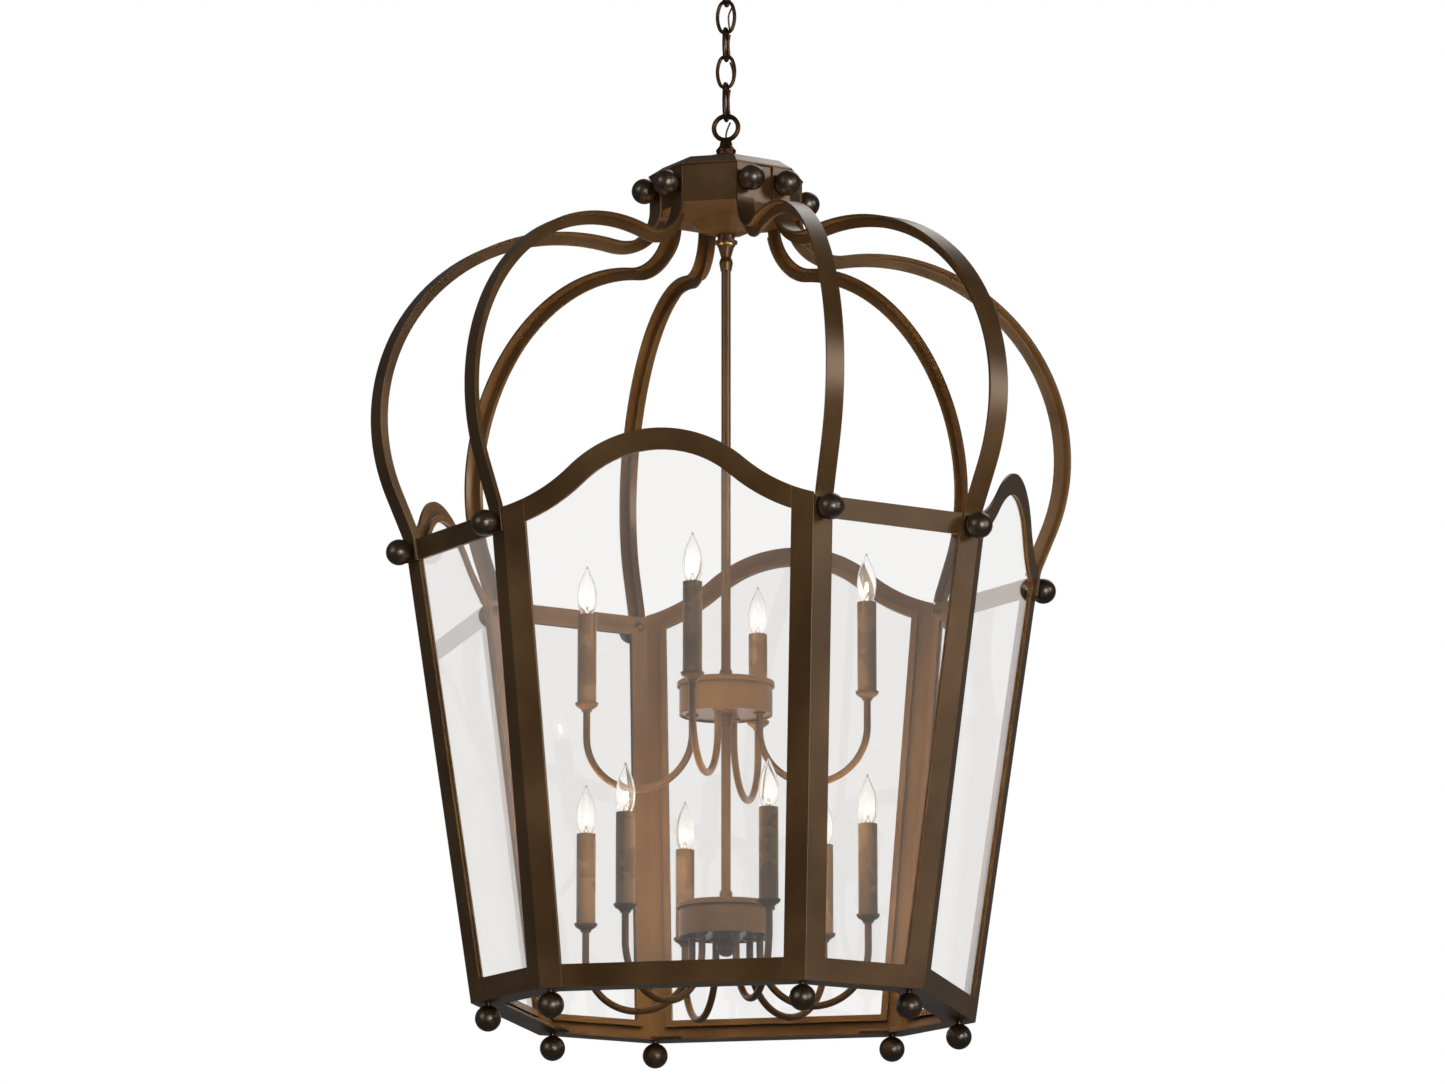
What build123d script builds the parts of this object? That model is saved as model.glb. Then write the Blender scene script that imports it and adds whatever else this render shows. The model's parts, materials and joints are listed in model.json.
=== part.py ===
from build123d import *
from math import atan, atan2, cos, degrees, pi, radians, sin, sqrt, tan
import os

# A large eight-sided glass lantern that hangs from the ceiling on a chain. Millimetres, +Z up.
# The origin is the centre of the ceiling mounting strap's upper face. The front wide face looks along -Y.
# The lantern below the chain is drawn with z = 0 at its girdle, the level of the balls on its shoulders,
# and hang() moves it down to its place.

# ---------------------------------------------------------------- driving dimensions
slip = 0.2                      # clearance round a stem, a screw or a shank in its hole
link_gap = 0.3                  # clearance where two links of the chain hook into each other
coat = 0.1                      # paint between a rib's foot and its post

# Ceiling end
strap_length = 112.0
strap_width = 18.0
strap_thickness = 2.5
slot_spacing = 88.9
slot_length = 14.0
slot_width = 5.0
canopy_radius = 64.0
canopy_flat_radius = 16.0       # the flat at the canopy's lowest point
canopy_depth = 26.0
canopy_brow_radius = 49.9       # where the canopy's side turns in towards the flat
canopy_brow_depth = 16.1
canopy_rim = 4.0
canopy_sheet = 1.5
collar_radius = 12.0
collar_height = 10.0
shank_radius = 4.75
shank_bore_radius = 3.0
shank_nut_flats = 17.0
shank_nut_height = 5.0
canopy_neck_radius = 7.0
canopy_neck_height = 7.0
canopy_ring_radius = 18.0       # outside
canopy_ring_wire = 4.8

# Chain
link_wire = 5.0
link_length = 48.9
link_width = 28.8
link_end_radius = 9.5           # of the wire's centre line at each end
long_link_length = 56.1         # the connector at the chain's lower end
link_count = 4

# Supply cord, threaded along the chain
cord_diameter = 2.5
cord_break = 2.2                # half of the space between two lengths, at each hook point
cord_clear = 0.85               # from the cord to the wires that it passes
cord_twist_side = 6.6           # from the axis where the top link twists in the canopy's ring
cord_bulge_share = 0.32         # of a length's drop, from each end to its bulge
cord_bend_share = 0.45          # of the shorter run beside a bend that its arc takes

# Crown loop
loop_radius = 20.0              # outside
loop_wire = 6.5
neck_top_radius = 6.5
neck_waist_radius = 8.3
neck_waist_drop = 21.6          # below the loop's centre
neck_foot_radius = 8.9
neck_foot_drop = 25.6
bead_radius = 13.5
bead_drop = 32.6
bead_edge = 1.0                 # half of the bead's upright edge
bead_fall = 2.4                 # from the bead's middle to the base below it
loop_base_radius = 13.0
loop_base_drop = 41.6
loop_flare_height = 3.0
loop_flare_radius = 16.0
cord_hole_depth = 14.0

# Crown: roof, drum and pan. Apothems are to the narrow sides, and the wide sides stand a little further.
drum_apothem = 92.2
drum_wide_extra = 2.5
drum_height = 49.0
drum_plate = 3.0
roof_overhang = 0.7             # past the ribs
roof_sheet = 2.0
roof_height = 32.0
roof_levels = ((78.0, 15.0), (43.0, 23.0), (27.0, 30.0))     # apothem, height above the drum
pan_sheet = 2.0
pan_rim = 2.0
pan_step_apothem = 46.0
pan_step_drop = 11.6
pan_bowl_apothem = 30.0
pan_bowl_drop = 22.5
pan_foot_apothem = 12.5
pan_depth = 28.0

# Ribs
dome_height = 537.0             # from the girdle to the drum's top edge
rib_plate = 3.2
rib_width = 27.0
web_thickness = 3.2
web_depth = 12.7
shoulder_radius = 53.3          # the hollow curve beside the drum
dome_radius = 263.7
dome_overhang = 62.5            # of the dome's widest point past the narrow faces
dome_centre_height = 180.0
dome_turn_below = 23.2          # degrees that the dome's arc runs on below its widest point
foot_bend_radius = 40.0
rib_foot_drop = 13.0            # the foot's end, below the girdle
web_start_drop = 63.0           # below the drum's top edge

# Body: four wide and four narrow faces that lean outward towards the girdle
body_height = 594.5
wide_apothem = 384.4
wide_foot_apothem = 300.5
narrow_apothem = 416.2
narrow_foot_apothem = 335.2
plate = 3.0
leg_width = 29.0
foot_rail_width = 29.5
top_rail_rise = 15.0
top_rail_drop = 12.5
arch_band = 28.0
arch_crown_radius = 173.5       # the arch's upper edge
arch_flank_radius = 216.0
arch_flank_reach = 54.8         # of the flank curves' centres past the face's corner
arch_flank_rise = 11.0          # lowest point of the arch's upper edge, above the girdle
ring_width = 35.0
ring_plate = 3.0
glass_thickness = 3.0
glass_lap = 8.0
stop_width = 9.0
stop_thickness = 3.0
tab_length = 40.0
tab_width = 14.0
tab_thickness = 3.0
tab_overhang = 7.0

# Balls, each on its own screw
ball_radius = 17.2
ball_flat = 0.8
ball_neck_radius = 4.0
foot_neck_length = 2.9
screw_radius = 3.0
nut_flats = 10.0
nut_height = 5.0
screw_tail = 1.5
crown_ball_drop = 24.3          # below the drum's top edge
crown_pair_spacing = 56.6
girdle_screw_inset = 14.0       # of a girdle screw from the narrow face's corner
foot_inset = 21.0               # of a foot ball from both of its faces

# Stem and couplings. Heights are from the girdle.
stem_radius = 6.35
stem_bore_radius = 5.0
coupling_radius = 11.5
coupling_height = 8.0
coupling_lip_radius = 15.5
coupling_lip_height = 3.0
check_ring_radius = 12.5
check_ring_height = 4.0
cone_top_radius = 10.5
cone_foot_radius = 6.9
cone_height = 16.0
knuckle_radius = 9.3
knuckle_height = 18.0
knuckle_crest_drop = 7.2        # of the knuckle's widest point below its top
knuckle_shoulder = 4.0          # above and below that point
knuckle_shoulder_radius = 8.5
stem_grip = 15.0

# Hubs
upper_hub_level = -152.0
lower_hub_level = -449.0
hub_height = 45.0
hub_radius = 62.0
hub_sheet = 1.5
hub_floor_recess = 2.5
lid_radius = 65.0
lid_skirt = 7.0
collar_rise = 17.0
stem_collar_radius = 8.6
joint_collar_radius = 8.0
joint_collar_length = 20.0
finial_radius = 13.0
finial_neck_radius = 8.0

# Arms and candles
upper_arm_count = 4
lower_arm_count = 6
arm_radius = 4.75
arm_bore_radius = 3.6
arm_root = 46.0                 # from the stem's centre
arm_stub = 8.0                  # inside the hub
arm_boss_radius = 8.0
arm_boss_height = 3.0
candle_circle = 191.0
arm_drop = 119.3                # from the cup's rim to the arm's lowest centre line
cup_rim_below_lid = 20.5
cup_rim_radius = 15.5
cup_rim_height = 1.5
cup_bowl_height = 7.5
cup_belly_radius = 14.0
cup_belly_drop = 3.0            # below the rim's lower edge
cup_foot_radius = 7.5
cup_height = 12.0
sleeve_radius = 12.7
sleeve_wall = 1.0
sleeve_height = 120.0           # above the cup's rim
sleeve_seat = 3.5
socket_radius = 11.0
socket_height = 43.0
socket_recess = 2.0
socket_well_radius = 6.4
socket_well_depth = 26.0
bulb_base_radius = 6.0
bulb_base_height = 22.0
bulb_tip_radius = 2.5
bulb_wall = 0.8
bulb_radius = 12.9
bulb_height = 67.0

# ---------------------------------------------------------------- levels and shared measures
canopy_ring_level = (-canopy_depth - collar_height - canopy_neck_height
                     - canopy_ring_radius + canopy_ring_wire / 2)
link_lengths = [link_length] * (link_count - 1) + [long_link_length]

# Hook points: the centre of the wire that each next piece hangs on, from the ceiling down.
hooks = [canopy_ring_level - canopy_ring_radius + canopy_ring_wire / 2]
link_tops = []
upper_wire = canopy_ring_wire
for length in link_lengths:
    top_wire_centre = hooks[-1] + (upper_wire + link_wire) / 2 + link_gap
    link_tops.append(top_wire_centre + link_wire / 2)
    hooks.append(top_wire_centre - (length - link_wire))
    upper_wire = link_wire
loop_level = hooks[-1] + (link_wire + loop_wire) / 2 + link_gap - (loop_radius - loop_wire / 2)
roof_top_level = loop_level - loop_base_drop
girdle_level = roof_top_level - roof_height - dome_height

drum_top = dome_height
drum_bottom = drum_top - drum_height
wide_lean = atan((wide_apothem - wide_foot_apothem) / body_height)
narrow_lean = atan((narrow_apothem - narrow_foot_apothem) / body_height)
wide_azimuths = (-90, 0, 90, 180)
narrow_azimuths = (-45, 45, 135, 225)

dome_centre_out = narrow_apothem + dome_overhang - dome_radius
girdle_pair_spacing = 2 * (sqrt(2) * wide_apothem - narrow_apothem - girdle_screw_inset)

# A rib stands in an upright plane through both of its screws. The plane turns from the narrow face's
# normal by rib_turn, and crosses that normal's plane through the axis at rib_offset to one side.
girdle_screw_out = narrow_apothem + coat + rib_plate
crown_screw_out = drum_apothem + rib_plate
rib_turn = atan((girdle_pair_spacing - crown_pair_spacing) / 2 / (girdle_screw_out - crown_screw_out))
rib_offset = crown_pair_spacing / 2 - crown_screw_out * tan(rib_turn)


def hang(shape):
    """moves a piece of the lantern from the girdle's frame down to its place below the chain"""
    return Pos(0, 0, girdle_level) * shape


def out(azimuth):
    """the horizontal unit vector at an azimuth in degrees"""
    return Vector(cos(radians(azimuth)), sin(radians(azimuth)), 0)


def along(azimuth):
    """the horizontal unit vector across that azimuth, anticlockwise"""
    return Vector(-sin(radians(azimuth)), cos(radians(azimuth)), 0)


def turned(*corners):
    """a solid of revolution about Z, from the corners (radius, height) of its half section"""
    outline = Polyline(*[(radius, 0, height) for radius, height in corners], close=True)
    return revolve(make_face(outline), axis=Axis.Z)


def tube(radius, bore, low, high):
    return turned((bore, low), (radius, low), (radius, high), (bore, high))


def rod(radius, low, high):
    return turned((0, low), (radius, low), (radius, high), (0, high))


def hex_nut(flats, bore, low, high):
    prism = extrude(Plane.XY.offset(low) * RegularPolygon(flats / 2, 6, major_radius=False), high - low)
    return prism - rod(bore, low - 1, high + 1)


def wire_ring(radius, wire, level, plane):
    """a round ring of wire that stands upright in the given plane, outside radius as given"""
    return Pos(0, 0, level) * plane.location * Torus(radius - wire / 2, wire / 2)


def grouped(solids):
    return Compound(children=list(solids))


# ---------------------------------------------------------------- ceiling end
def mounting_strap():
    strap = Pos(0, 0, -strap_thickness / 2) * Box(strap_length, strap_width, strap_thickness)
    slot = extrude(Plane.XY.offset(-strap_thickness - 1) * SlotOverall(slot_length, slot_width),
                   strap_thickness + 2)
    for side in (-1, 1):
        strap -= Pos(side * slot_spacing / 2, 0, 0) * slot
    return strap - rod(shank_radius + slip, -strap_thickness - 1, 1)


def ceiling_canopy():
    hole = shank_radius + slip
    return turned((canopy_radius - canopy_sheet, 0), (canopy_radius, 0), (canopy_radius, -canopy_rim),
                  (canopy_brow_radius, -canopy_brow_depth), (canopy_flat_radius, -canopy_depth),
                  (hole, -canopy_depth), (hole, canopy_sheet - canopy_depth),
                  (canopy_flat_radius - canopy_sheet, canopy_sheet - canopy_depth),
                  (canopy_brow_radius - canopy_sheet, canopy_sheet - canopy_brow_depth),
                  (canopy_radius - canopy_sheet, -canopy_rim))


def canopy_collar():
    """the knurled nut that holds the canopy up against the ceiling"""
    top = -canopy_depth
    bevel = 1.0
    return turned((shank_radius + slip, top), (collar_radius - bevel, top), (collar_radius, top - bevel),
                  (collar_radius, top - collar_height + bevel), (collar_radius - bevel, top - collar_height),
                  (shank_radius + slip, top - collar_height))


def canopy_loop():
    neck_top = -canopy_depth - collar_height
    neck_foot = neck_top - canopy_neck_height
    ring = wire_ring(canopy_ring_radius, canopy_ring_wire, canopy_ring_level, Plane.YZ)
    body = rod(canopy_neck_radius, neck_foot - canopy_ring_wire / 2, neck_top)
    body += rod(shank_radius, neck_top, -slip)
    opening = rod(shank_bore_radius, neck_foot - canopy_ring_wire, 1)
    return (body + ring) - opening


def shank_nut():
    top = -strap_thickness
    return hex_nut(shank_nut_flats, shank_radius + slip / 2, top - shank_nut_height, top)


# ---------------------------------------------------------------- chain
def chain_link(length, top, plane):
    """an oval link with bulged sides, drawn in the given upright plane with its top at that level"""
    half_width = (link_width - link_wire) / 2
    half_length = (length - link_wire) / 2
    end_centre = half_length - link_end_radius
    side_radius = ((half_width ** 2 + end_centre ** 2 - link_end_radius ** 2)
                   / (2 * (half_width - link_end_radius)))
    side_centre = side_radius - half_width
    side_angle = degrees(atan2(end_centre, side_centre))
    path = Wire([
        CenterArc((-side_centre, 0), side_radius, -side_angle, 2 * side_angle),
        CenterArc((0, end_centre), link_end_radius, side_angle, 180 - 2 * side_angle),
        CenterArc((side_centre, 0), side_radius, 180 - side_angle, 2 * side_angle),
        CenterArc((0, -end_centre), link_end_radius, 180 + side_angle, 180 - 2 * side_angle),
    ])
    section = Plane(path @ 0, z_dir=path % 0) * Circle(link_wire / 2)
    link = sweep(section, path=path)
    return Pos(0, 0, top - length / 2) * plane.location * link


# ---------------------------------------------------------------- supply cord
cord_side = link_wire / 2 + cord_diameter / 2 + cord_clear
cord_loop_side = loop_wire / 2 + cord_diameter / 2 + cord_clear


def cord_routes():
    """each length's points, from the ceiling down, one length on each moving piece of the chain"""
    loop_eye = loop_level - loop_radius + loop_wire
    routes = [[
        (0, 0, -canopy_depth),
        (0, 0.4, canopy_ring_level + 12),
        (1.6, 3.0, canopy_ring_level - 1),
        (cord_twist_side, cord_twist_side, hooks[0] + cord_break),
    ]]
    bulges = (
        ((2.6, 2.8), (3.0, 3.4)),
        ((3.4, 1.6), (3.7, 3.2)),
        ((8.5, 3.8), (8.8, 4.2)),
        ((3.0, 3.2), (3.4, 4.6)),
    )
    for top, bottom, (upper, lower) in zip(hooks, hooks[1:], bulges):
        first = cord_twist_side if top == hooks[0] else cord_side
        last = cord_loop_side if bottom == hooks[-1] else cord_side
        high = top - cord_break
        low = bottom + cord_break
        drop = high - low
        routes.append([
            (first, first, high),
            (*upper, high - cord_bulge_share * drop),
            (*lower, low + cord_bulge_share * drop),
            (cord_side, last, low),
        ])
    high = hooks[-1] - cord_break
    routes.append([
        (cord_side, cord_loop_side, high),
        (1.9, 2.8, high - 8.0),
        (0, 0, loop_eye + 5.5),
        (0, 0, loop_eye - 5.0),
    ])
    return routes


def supply_cord(points):
    """straight runs joined by arcs as large as the runs allow; prints the arcs and compares the volume"""
    corners = [Vector(*point) for point in points]
    radii = []
    for before, corner, after in zip(corners, corners[1:], corners[2:]):
        first = corner - before
        second = after - corner
        shorter = min(first.length, second.length)
        radii.append(cord_bend_share * shorter / tan(radians(first.get_angle(second)) / 2))
    path = FilletPolyline(*points, radius=radii)
    section = Plane(path @ 0, z_dir=path % 0) * Circle(cord_diameter / 2)
    cord = sweep(section, path=path)
    expected = pi * (cord_diameter / 2) ** 2 * path.length
    print("cord radii", [round(radius, 1) for radius in radii], "length", round(path.length, 2),
          "volume", round(cord.volume / expected, 4))
    return cord


# ---------------------------------------------------------------- crown
def crown_loop():
    ring = wire_ring(loop_radius, loop_wire, 0, Plane.XZ)
    neck_top = loop_wire / 2 - loop_radius
    neck = turned((0, neck_top), (neck_top_radius, neck_top),
                  (neck_waist_radius, -neck_waist_drop), (neck_foot_radius, -neck_foot_drop),
                  (bead_radius, -bead_drop + bead_edge), (bead_radius, -bead_drop - bead_edge),
                  (loop_base_radius, -bead_drop - bead_fall),
                  (loop_base_radius, loop_flare_height - loop_base_drop),
                  (loop_flare_radius, -loop_base_drop), (0, -loop_base_drop))
    shank_foot = drum_bottom - pan_depth - coupling_height - coupling_lip_height - check_ring_height - 1
    shank = rod(shank_radius, shank_foot - (roof_top_level + loop_base_drop - girdle_level), -loop_base_drop)
    cord_hole = rod(cord_diameter / 2 + slip, loop_wire - loop_radius - cord_hole_depth, 0)
    return Pos(0, 0, loop_level) * ((ring + neck + shank) - cord_hole)


def octagon(wide, narrow, z):
    """an eight-sided face with its wide sides across X and Y"""
    half = sqrt(2) * narrow - wide
    corners = []
    for azimuth in wide_azimuths:
        for side in (-1, 1):
            corner = out(azimuth) * wide + along(azimuth) * (side * half)
            corners.append((corner.X, corner.Y, z))
    return make_face(Polyline(*corners, close=True))


def crown_octagon(apothem, z):
    return octagon(apothem * (1 + drum_wide_extra / drum_apothem), apothem, z)


def stacked(levels):
    """a solid with flat facets through octagons of the given (apothem, height)"""
    faces = [crown_octagon(apothem, z) for apothem, z in levels]
    solids = [loft([low, high], ruled=True) for low, high in zip(faces, faces[1:])]
    return Solid.fuse(solids[0], *solids[1:]) if len(solids) > 1 else solids[0]


def crown_roof():
    rim = drum_apothem + rib_plate + roof_overhang
    outer = [(rim, drum_top), (rim, drum_top + roof_sheet)]
    outer += [(apothem, drum_top + height) for apothem, height in roof_levels]
    outer += [(loop_flare_radius, drum_top + roof_height)]
    ledge = drum_apothem - drum_plate - 1
    inner = [(ledge, drum_top - 1), (ledge, drum_top)]
    inner += [(apothem - roof_sheet, drum_top + height - roof_sheet) for apothem, height in roof_levels]
    return stacked(outer) - stacked(inner) - rod(shank_radius + slip, drum_top, drum_top + roof_height + 1)


def crown_drum():
    height = drum_height
    outer = extrude(crown_octagon(drum_apothem, drum_bottom), height)
    inner = extrude(crown_octagon(drum_apothem - drum_plate, drum_bottom - 1), height + 2)
    return outer - inner - screw_holes(crown_seats())


def crown_pan():
    steps = ((drum_apothem, 0), (drum_apothem, pan_rim), (pan_step_apothem, pan_step_drop),
             (pan_bowl_apothem, pan_bowl_drop), (pan_foot_apothem, pan_depth))
    levels = [(apothem, drum_bottom - drop) for apothem, drop in steps]
    hollow = [(apothem - pan_sheet, z + pan_sheet) for apothem, z in levels]
    hole = rod(shank_radius + slip, drum_bottom - pan_depth - 1, drum_bottom)
    return stacked(levels) - stacked(hollow) - hole


# ---------------------------------------------------------------- balls and their screws
def ball(neck_length, screw_length):
    """a ball on its screw; z = 0 is the face that it is tightened against"""
    shape = Pos(0, 0, neck_length + ball_radius - ball_flat) * Sphere(ball_radius)
    shape -= rod(2 * ball_radius, neck_length - 2 * ball_radius, neck_length)
    shape += rod(screw_radius, -screw_length, neck_length)
    if neck_length:
        shape += rod(ball_neck_radius, 0, neck_length + ball_flat)
    return shape


def crown_seats():
    seats = []
    for azimuth in narrow_azimuths:
        for side in (-1, 1):
            origin = out(azimuth) * crown_screw_out + along(azimuth) * (side * crown_pair_spacing / 2)
            origin += Vector(0, 0, drum_top - crown_ball_drop)
            seats.append(Plane(origin, x_dir=along(azimuth), z_dir=out(azimuth)))
    return seats


def girdle_seats():
    seats = []
    for azimuth in narrow_azimuths:
        outer = narrow_plane(azimuth).offset(coat + rib_plate)
        for side in (-1, 1):
            origin = outer.from_local_coords(Vector(side * girdle_pair_spacing / 2, 0, 0))
            seats.append(Plane(origin, x_dir=outer.x_dir, z_dir=outer.z_dir))
    return seats


def foot_seats():
    """under the bottom ring, foot_inset from the wide and the narrow face beside each corner"""
    wide = wide_at(-body_height) - foot_inset
    half = sqrt(2) * (narrow_at(-body_height) - foot_inset) - wide
    seats = []
    for azimuth in wide_azimuths:
        for side in (-1, 1):
            origin = out(azimuth) * wide + along(azimuth) * (side * half) - Vector(0, 0, body_height)
            seats.append(Plane(origin, x_dir=out(azimuth), z_dir=(0, 0, -1)))
    return seats


def clamped(seat):
    """what each ball's screw passes through before its nut"""
    return {"crown": rib_plate + drum_plate, "girdle": rib_plate + coat + plate, "foot": ring_plate}[seat]


def balls(kind, seats, neck_length=0.0):
    piece = ball(neck_length, clamped(kind) + nut_height + screw_tail)
    return grouped(seat.location * piece for seat in seats)


def ball_nuts():
    nuts = []
    for kind, seats in (("crown", crown_seats()), ("girdle", girdle_seats()), ("foot", foot_seats())):
        depth = clamped(kind)
        nut = hex_nut(nut_flats, screw_radius + slip / 4, -depth - nut_height, -depth)
        nuts += [seat.location * nut for seat in seats]
    return grouped(nuts)


def screw_holes(seats):
    reach = 4 * plate
    return [seat.location * rod(screw_radius + slip, -reach, reach / 2) for seat in seats]


# ---------------------------------------------------------------- ribs
def rib_plane(azimuth, side):
    """a rib's upright plane: local x runs outward and local y up"""
    x_dir = out(azimuth) * cos(rib_turn) + along(azimuth) * (side * sin(rib_turn))
    return Plane(along(azimuth) * (side * rib_offset), x_dir=x_dir, z_dir=x_dir.cross(Vector(0, 0, 1)))


def rib_trace(shift):
    """the face of the flange that seats on the drum and the post, moved outward by shift, as edges"""
    drum_x = drum_apothem / cos(rib_turn)
    shoulder_x = drum_x + shoulder_radius
    rise = sqrt((shoulder_radius + dome_radius) ** 2 - (dome_centre_out - shoulder_x) ** 2)
    shoulder = Vector(shoulder_x, dome_centre_height + rise)
    dome = Vector(dome_centre_out, dome_centre_height)
    meet = degrees(atan2(rise, shoulder_x - dome_centre_out))

    lean = atan(tan(narrow_lean) / cos(rib_turn))
    below = radians(dome_turn_below)
    down = Vector(-sin(below), -cos(below))
    off_straight = Vector(cos(below), -sin(below))
    off_leg = Vector(cos(lean), -sin(lean))
    leave = dome + off_straight * dome_radius
    seat_out = coat / cos(narrow_lean)
    leg_at_girdle = Vector((narrow_apothem + seat_out) / cos(rib_turn), 0)
    run = (leave - leg_at_girdle).dot(off_leg) / -down.dot(off_leg)
    corner = leave + down * run
    bend_start = corner - down * (foot_bend_radius * tan((below - lean) / 2))
    bend = bend_start + off_straight * foot_bend_radius
    bend_radius = foot_bend_radius - shift
    foot = Vector((narrow_at(-rib_foot_drop) + seat_out) / cos(rib_turn), -rib_foot_drop) + off_leg * shift
    return [
        Line((drum_x + shift, drum_top), (drum_x + shift, shoulder.Y)),
        CenterArc(shoulder, shoulder_radius - shift, 180, meet),
        CenterArc(dome, dome_radius + shift, meet, -(meet + dome_turn_below)),
        Line(leave + off_straight * shift, bend_start + off_straight * shift),
        CenterArc(bend, bend_radius, 180 - dome_turn_below, dome_turn_below - degrees(lean)),
        Line(bend - off_leg * bend_radius, foot),
    ]


def rib_band(inner_shift, outer_shift):
    inner = rib_trace(inner_shift)
    outer = rib_trace(outer_shift)
    ends = [Line(inner[0] @ 0, outer[0] @ 0), Line(inner[-1] @ 1, outer[-1] @ 1)]
    return make_face(inner + outer + ends)


def rib(azimuth, side, seats):
    plane = rib_plane(azimuth, side)
    across = along(azimuth)
    depth = rib_plate / cos(rib_turn)
    flange = extrude(plane * rib_band(0, depth), rib_width / 2, dir=across, both=True)
    web_top = drum_top - web_start_drop
    web_face = rib_band(-web_depth, 0)
    beside_drum = Rectangle(4 * web_depth, 2 * drum_height)
    behind_post = Rectangle(4 * leg_width, 2 * leg_width)
    web_face -= Pos(drum_apothem, web_top + drum_height) * beside_drum
    web_face -= Pos(narrow_apothem, top_rail_rise + 1 - leg_width) * behind_post
    web = extrude(plane * web_face, web_thickness / 2, dir=across, both=True)
    return (flange + web) - screw_holes(seats)


# ---------------------------------------------------------------- body
def wide_at(z):
    """the wide faces' apothem at a height above the girdle"""
    return wide_apothem + tan(wide_lean) * z


def narrow_at(z):
    return narrow_apothem + tan(narrow_lean) * z


def wide_half(z):
    """half of a wide face's width at that height"""
    return sqrt(2) * narrow_at(z) - wide_at(z)


def narrow_half(z):
    return sqrt(2) * wide_at(z) - narrow_at(z)


def face_plane(azimuth, apothem, lean):
    """a leaning face's outer surface: local x along the face, local y up its slope, girdle at y = 0"""
    normal = out(azimuth) * cos(lean) - Vector(0, 0, sin(lean))
    return Plane(out(azimuth) * apothem, x_dir=along(azimuth), z_dir=normal)


def wide_plane(azimuth):
    return face_plane(azimuth, wide_apothem, wide_lean)


def narrow_plane(azimuth):
    return face_plane(azimuth, narrow_apothem, narrow_lean)


arch_centre_x = wide_half(0) + arch_flank_reach
arch_flank_y = arch_flank_rise + arch_flank_radius
arch_crown_y = arch_flank_y - sqrt((arch_crown_radius + arch_flank_radius) ** 2 - arch_centre_x ** 2)
arch_top = arch_crown_y + arch_crown_radius


def under_arch(drop):
    """the wide face's region below the arch's upper edge, with that edge moved down by drop"""
    flank = arch_flank_radius + drop
    crown = arch_crown_radius - drop
    meet = degrees(atan2(arch_flank_y - arch_crown_y, arch_centre_x))
    low = -2 * body_height
    edge_y = arch_flank_y - flank
    return make_face([
        CenterArc((arch_centre_x, arch_flank_y), flank, 180 + meet, 90 - meet),
        CenterArc((0, arch_crown_y), crown, meet, 180 - 2 * meet),
        CenterArc((-arch_centre_x, arch_flank_y), flank, 270, 90 - meet),
        Line((-arch_centre_x, edge_y), (-arch_centre_x, low)),
        Line((-arch_centre_x, low), (arch_centre_x, low)),
        Line((arch_centre_x, low), (arch_centre_x, edge_y)),
    ])


def between(half_at, lean, inset, low, high):
    """the face between its two corner lines, each moved in by inset, from one height to another"""
    corners = []
    for height in (low, high):
        reach = half_at(height) - inset
        sides = (-reach, reach) if height == low else (reach, -reach)
        corners += [(x, height / cos(lean)) for x in sides]
    return make_face(Polyline(*corners, close=True))


def wide_region(inset, low, high):
    return between(wide_half, wide_lean, inset, low, high)


def narrow_region(inset, low, high):
    return between(narrow_half, narrow_lean, inset, low, high)


body_low = -body_height - plate
rail_top = foot_rail_width - body_height


def wide_opening(grow):
    """the opening in a wide face's frame, made larger all round by grow"""
    region = wide_region(leg_width - grow, rail_top - grow, arch_top + plate)
    return region & under_arch(arch_band - grow)


def narrow_opening(grow):
    return narrow_region(leg_width - grow, rail_top - grow, grow - top_rail_drop)


def body_shell():
    """the whole eight-sided skin of plate, from which the frame's pieces are cut"""
    high = arch_top + 4 * plate
    outer = loft([octagon(wide_at(z), narrow_at(z), z) for z in (-body_height, high)], ruled=True)
    wide_wall = plate / cos(wide_lean)
    narrow_wall = plate / cos(narrow_lean)
    inner = loft([octagon(wide_at(z) - wide_wall, narrow_at(z) - narrow_wall, z)
                  for z in (-body_height - plate, high + plate)], ruled=True)
    return outer - inner - screw_holes(girdle_seats())


shell = body_shell()


def cut_plate(plane, region):
    """the part of the skin behind a region of one face"""
    return shell & extrude(plane * region, 2 * plate, both=True)


def corner_post(azimuth, side):
    """a bent post, from the leg on a wide face and the leg on the narrow face beside it"""
    wide_leg = wide_region(0, body_low, arch_top) - wide_region(leg_width, body_low - 1, arch_top + 1)
    wide_leg = (wide_leg & under_arch(0)) & half_plane(side)
    narrow_leg = narrow_region(0, body_low, top_rail_rise)
    narrow_leg -= narrow_region(leg_width, body_low - 1, top_rail_rise + 1)
    narrow_leg &= half_plane(-side)
    first = cut_plate(wide_plane(azimuth), wide_leg)
    second = cut_plate(narrow_plane(azimuth + 45 * side), narrow_leg)
    return first + second


def half_plane(side):
    size = 4 * body_height
    return Pos(side * size / 2, 0) * Rectangle(size, size)


def arched_rail(azimuth):
    band = under_arch(0) - under_arch(arch_band)
    region = wide_region(leg_width, -leg_width * 2, arch_top + plate) & band
    return cut_plate(wide_plane(azimuth), region)


def narrow_top_rails():
    region = narrow_region(leg_width, -top_rail_drop, top_rail_rise)
    return grouped(cut_plate(narrow_plane(azimuth), region) for azimuth in narrow_azimuths)


def bottom_rails():
    wide = wide_region(leg_width, body_low, rail_top)
    narrow = narrow_region(leg_width, body_low, rail_top)
    rails = [cut_plate(wide_plane(azimuth), wide) for azimuth in wide_azimuths]
    rails += [cut_plate(narrow_plane(azimuth), narrow) for azimuth in narrow_azimuths]
    return grouped(rails)


ring_wide = wide_at(-body_height) - plate / cos(wide_lean)
ring_narrow = narrow_at(-body_height) - plate / cos(narrow_lean)


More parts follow.
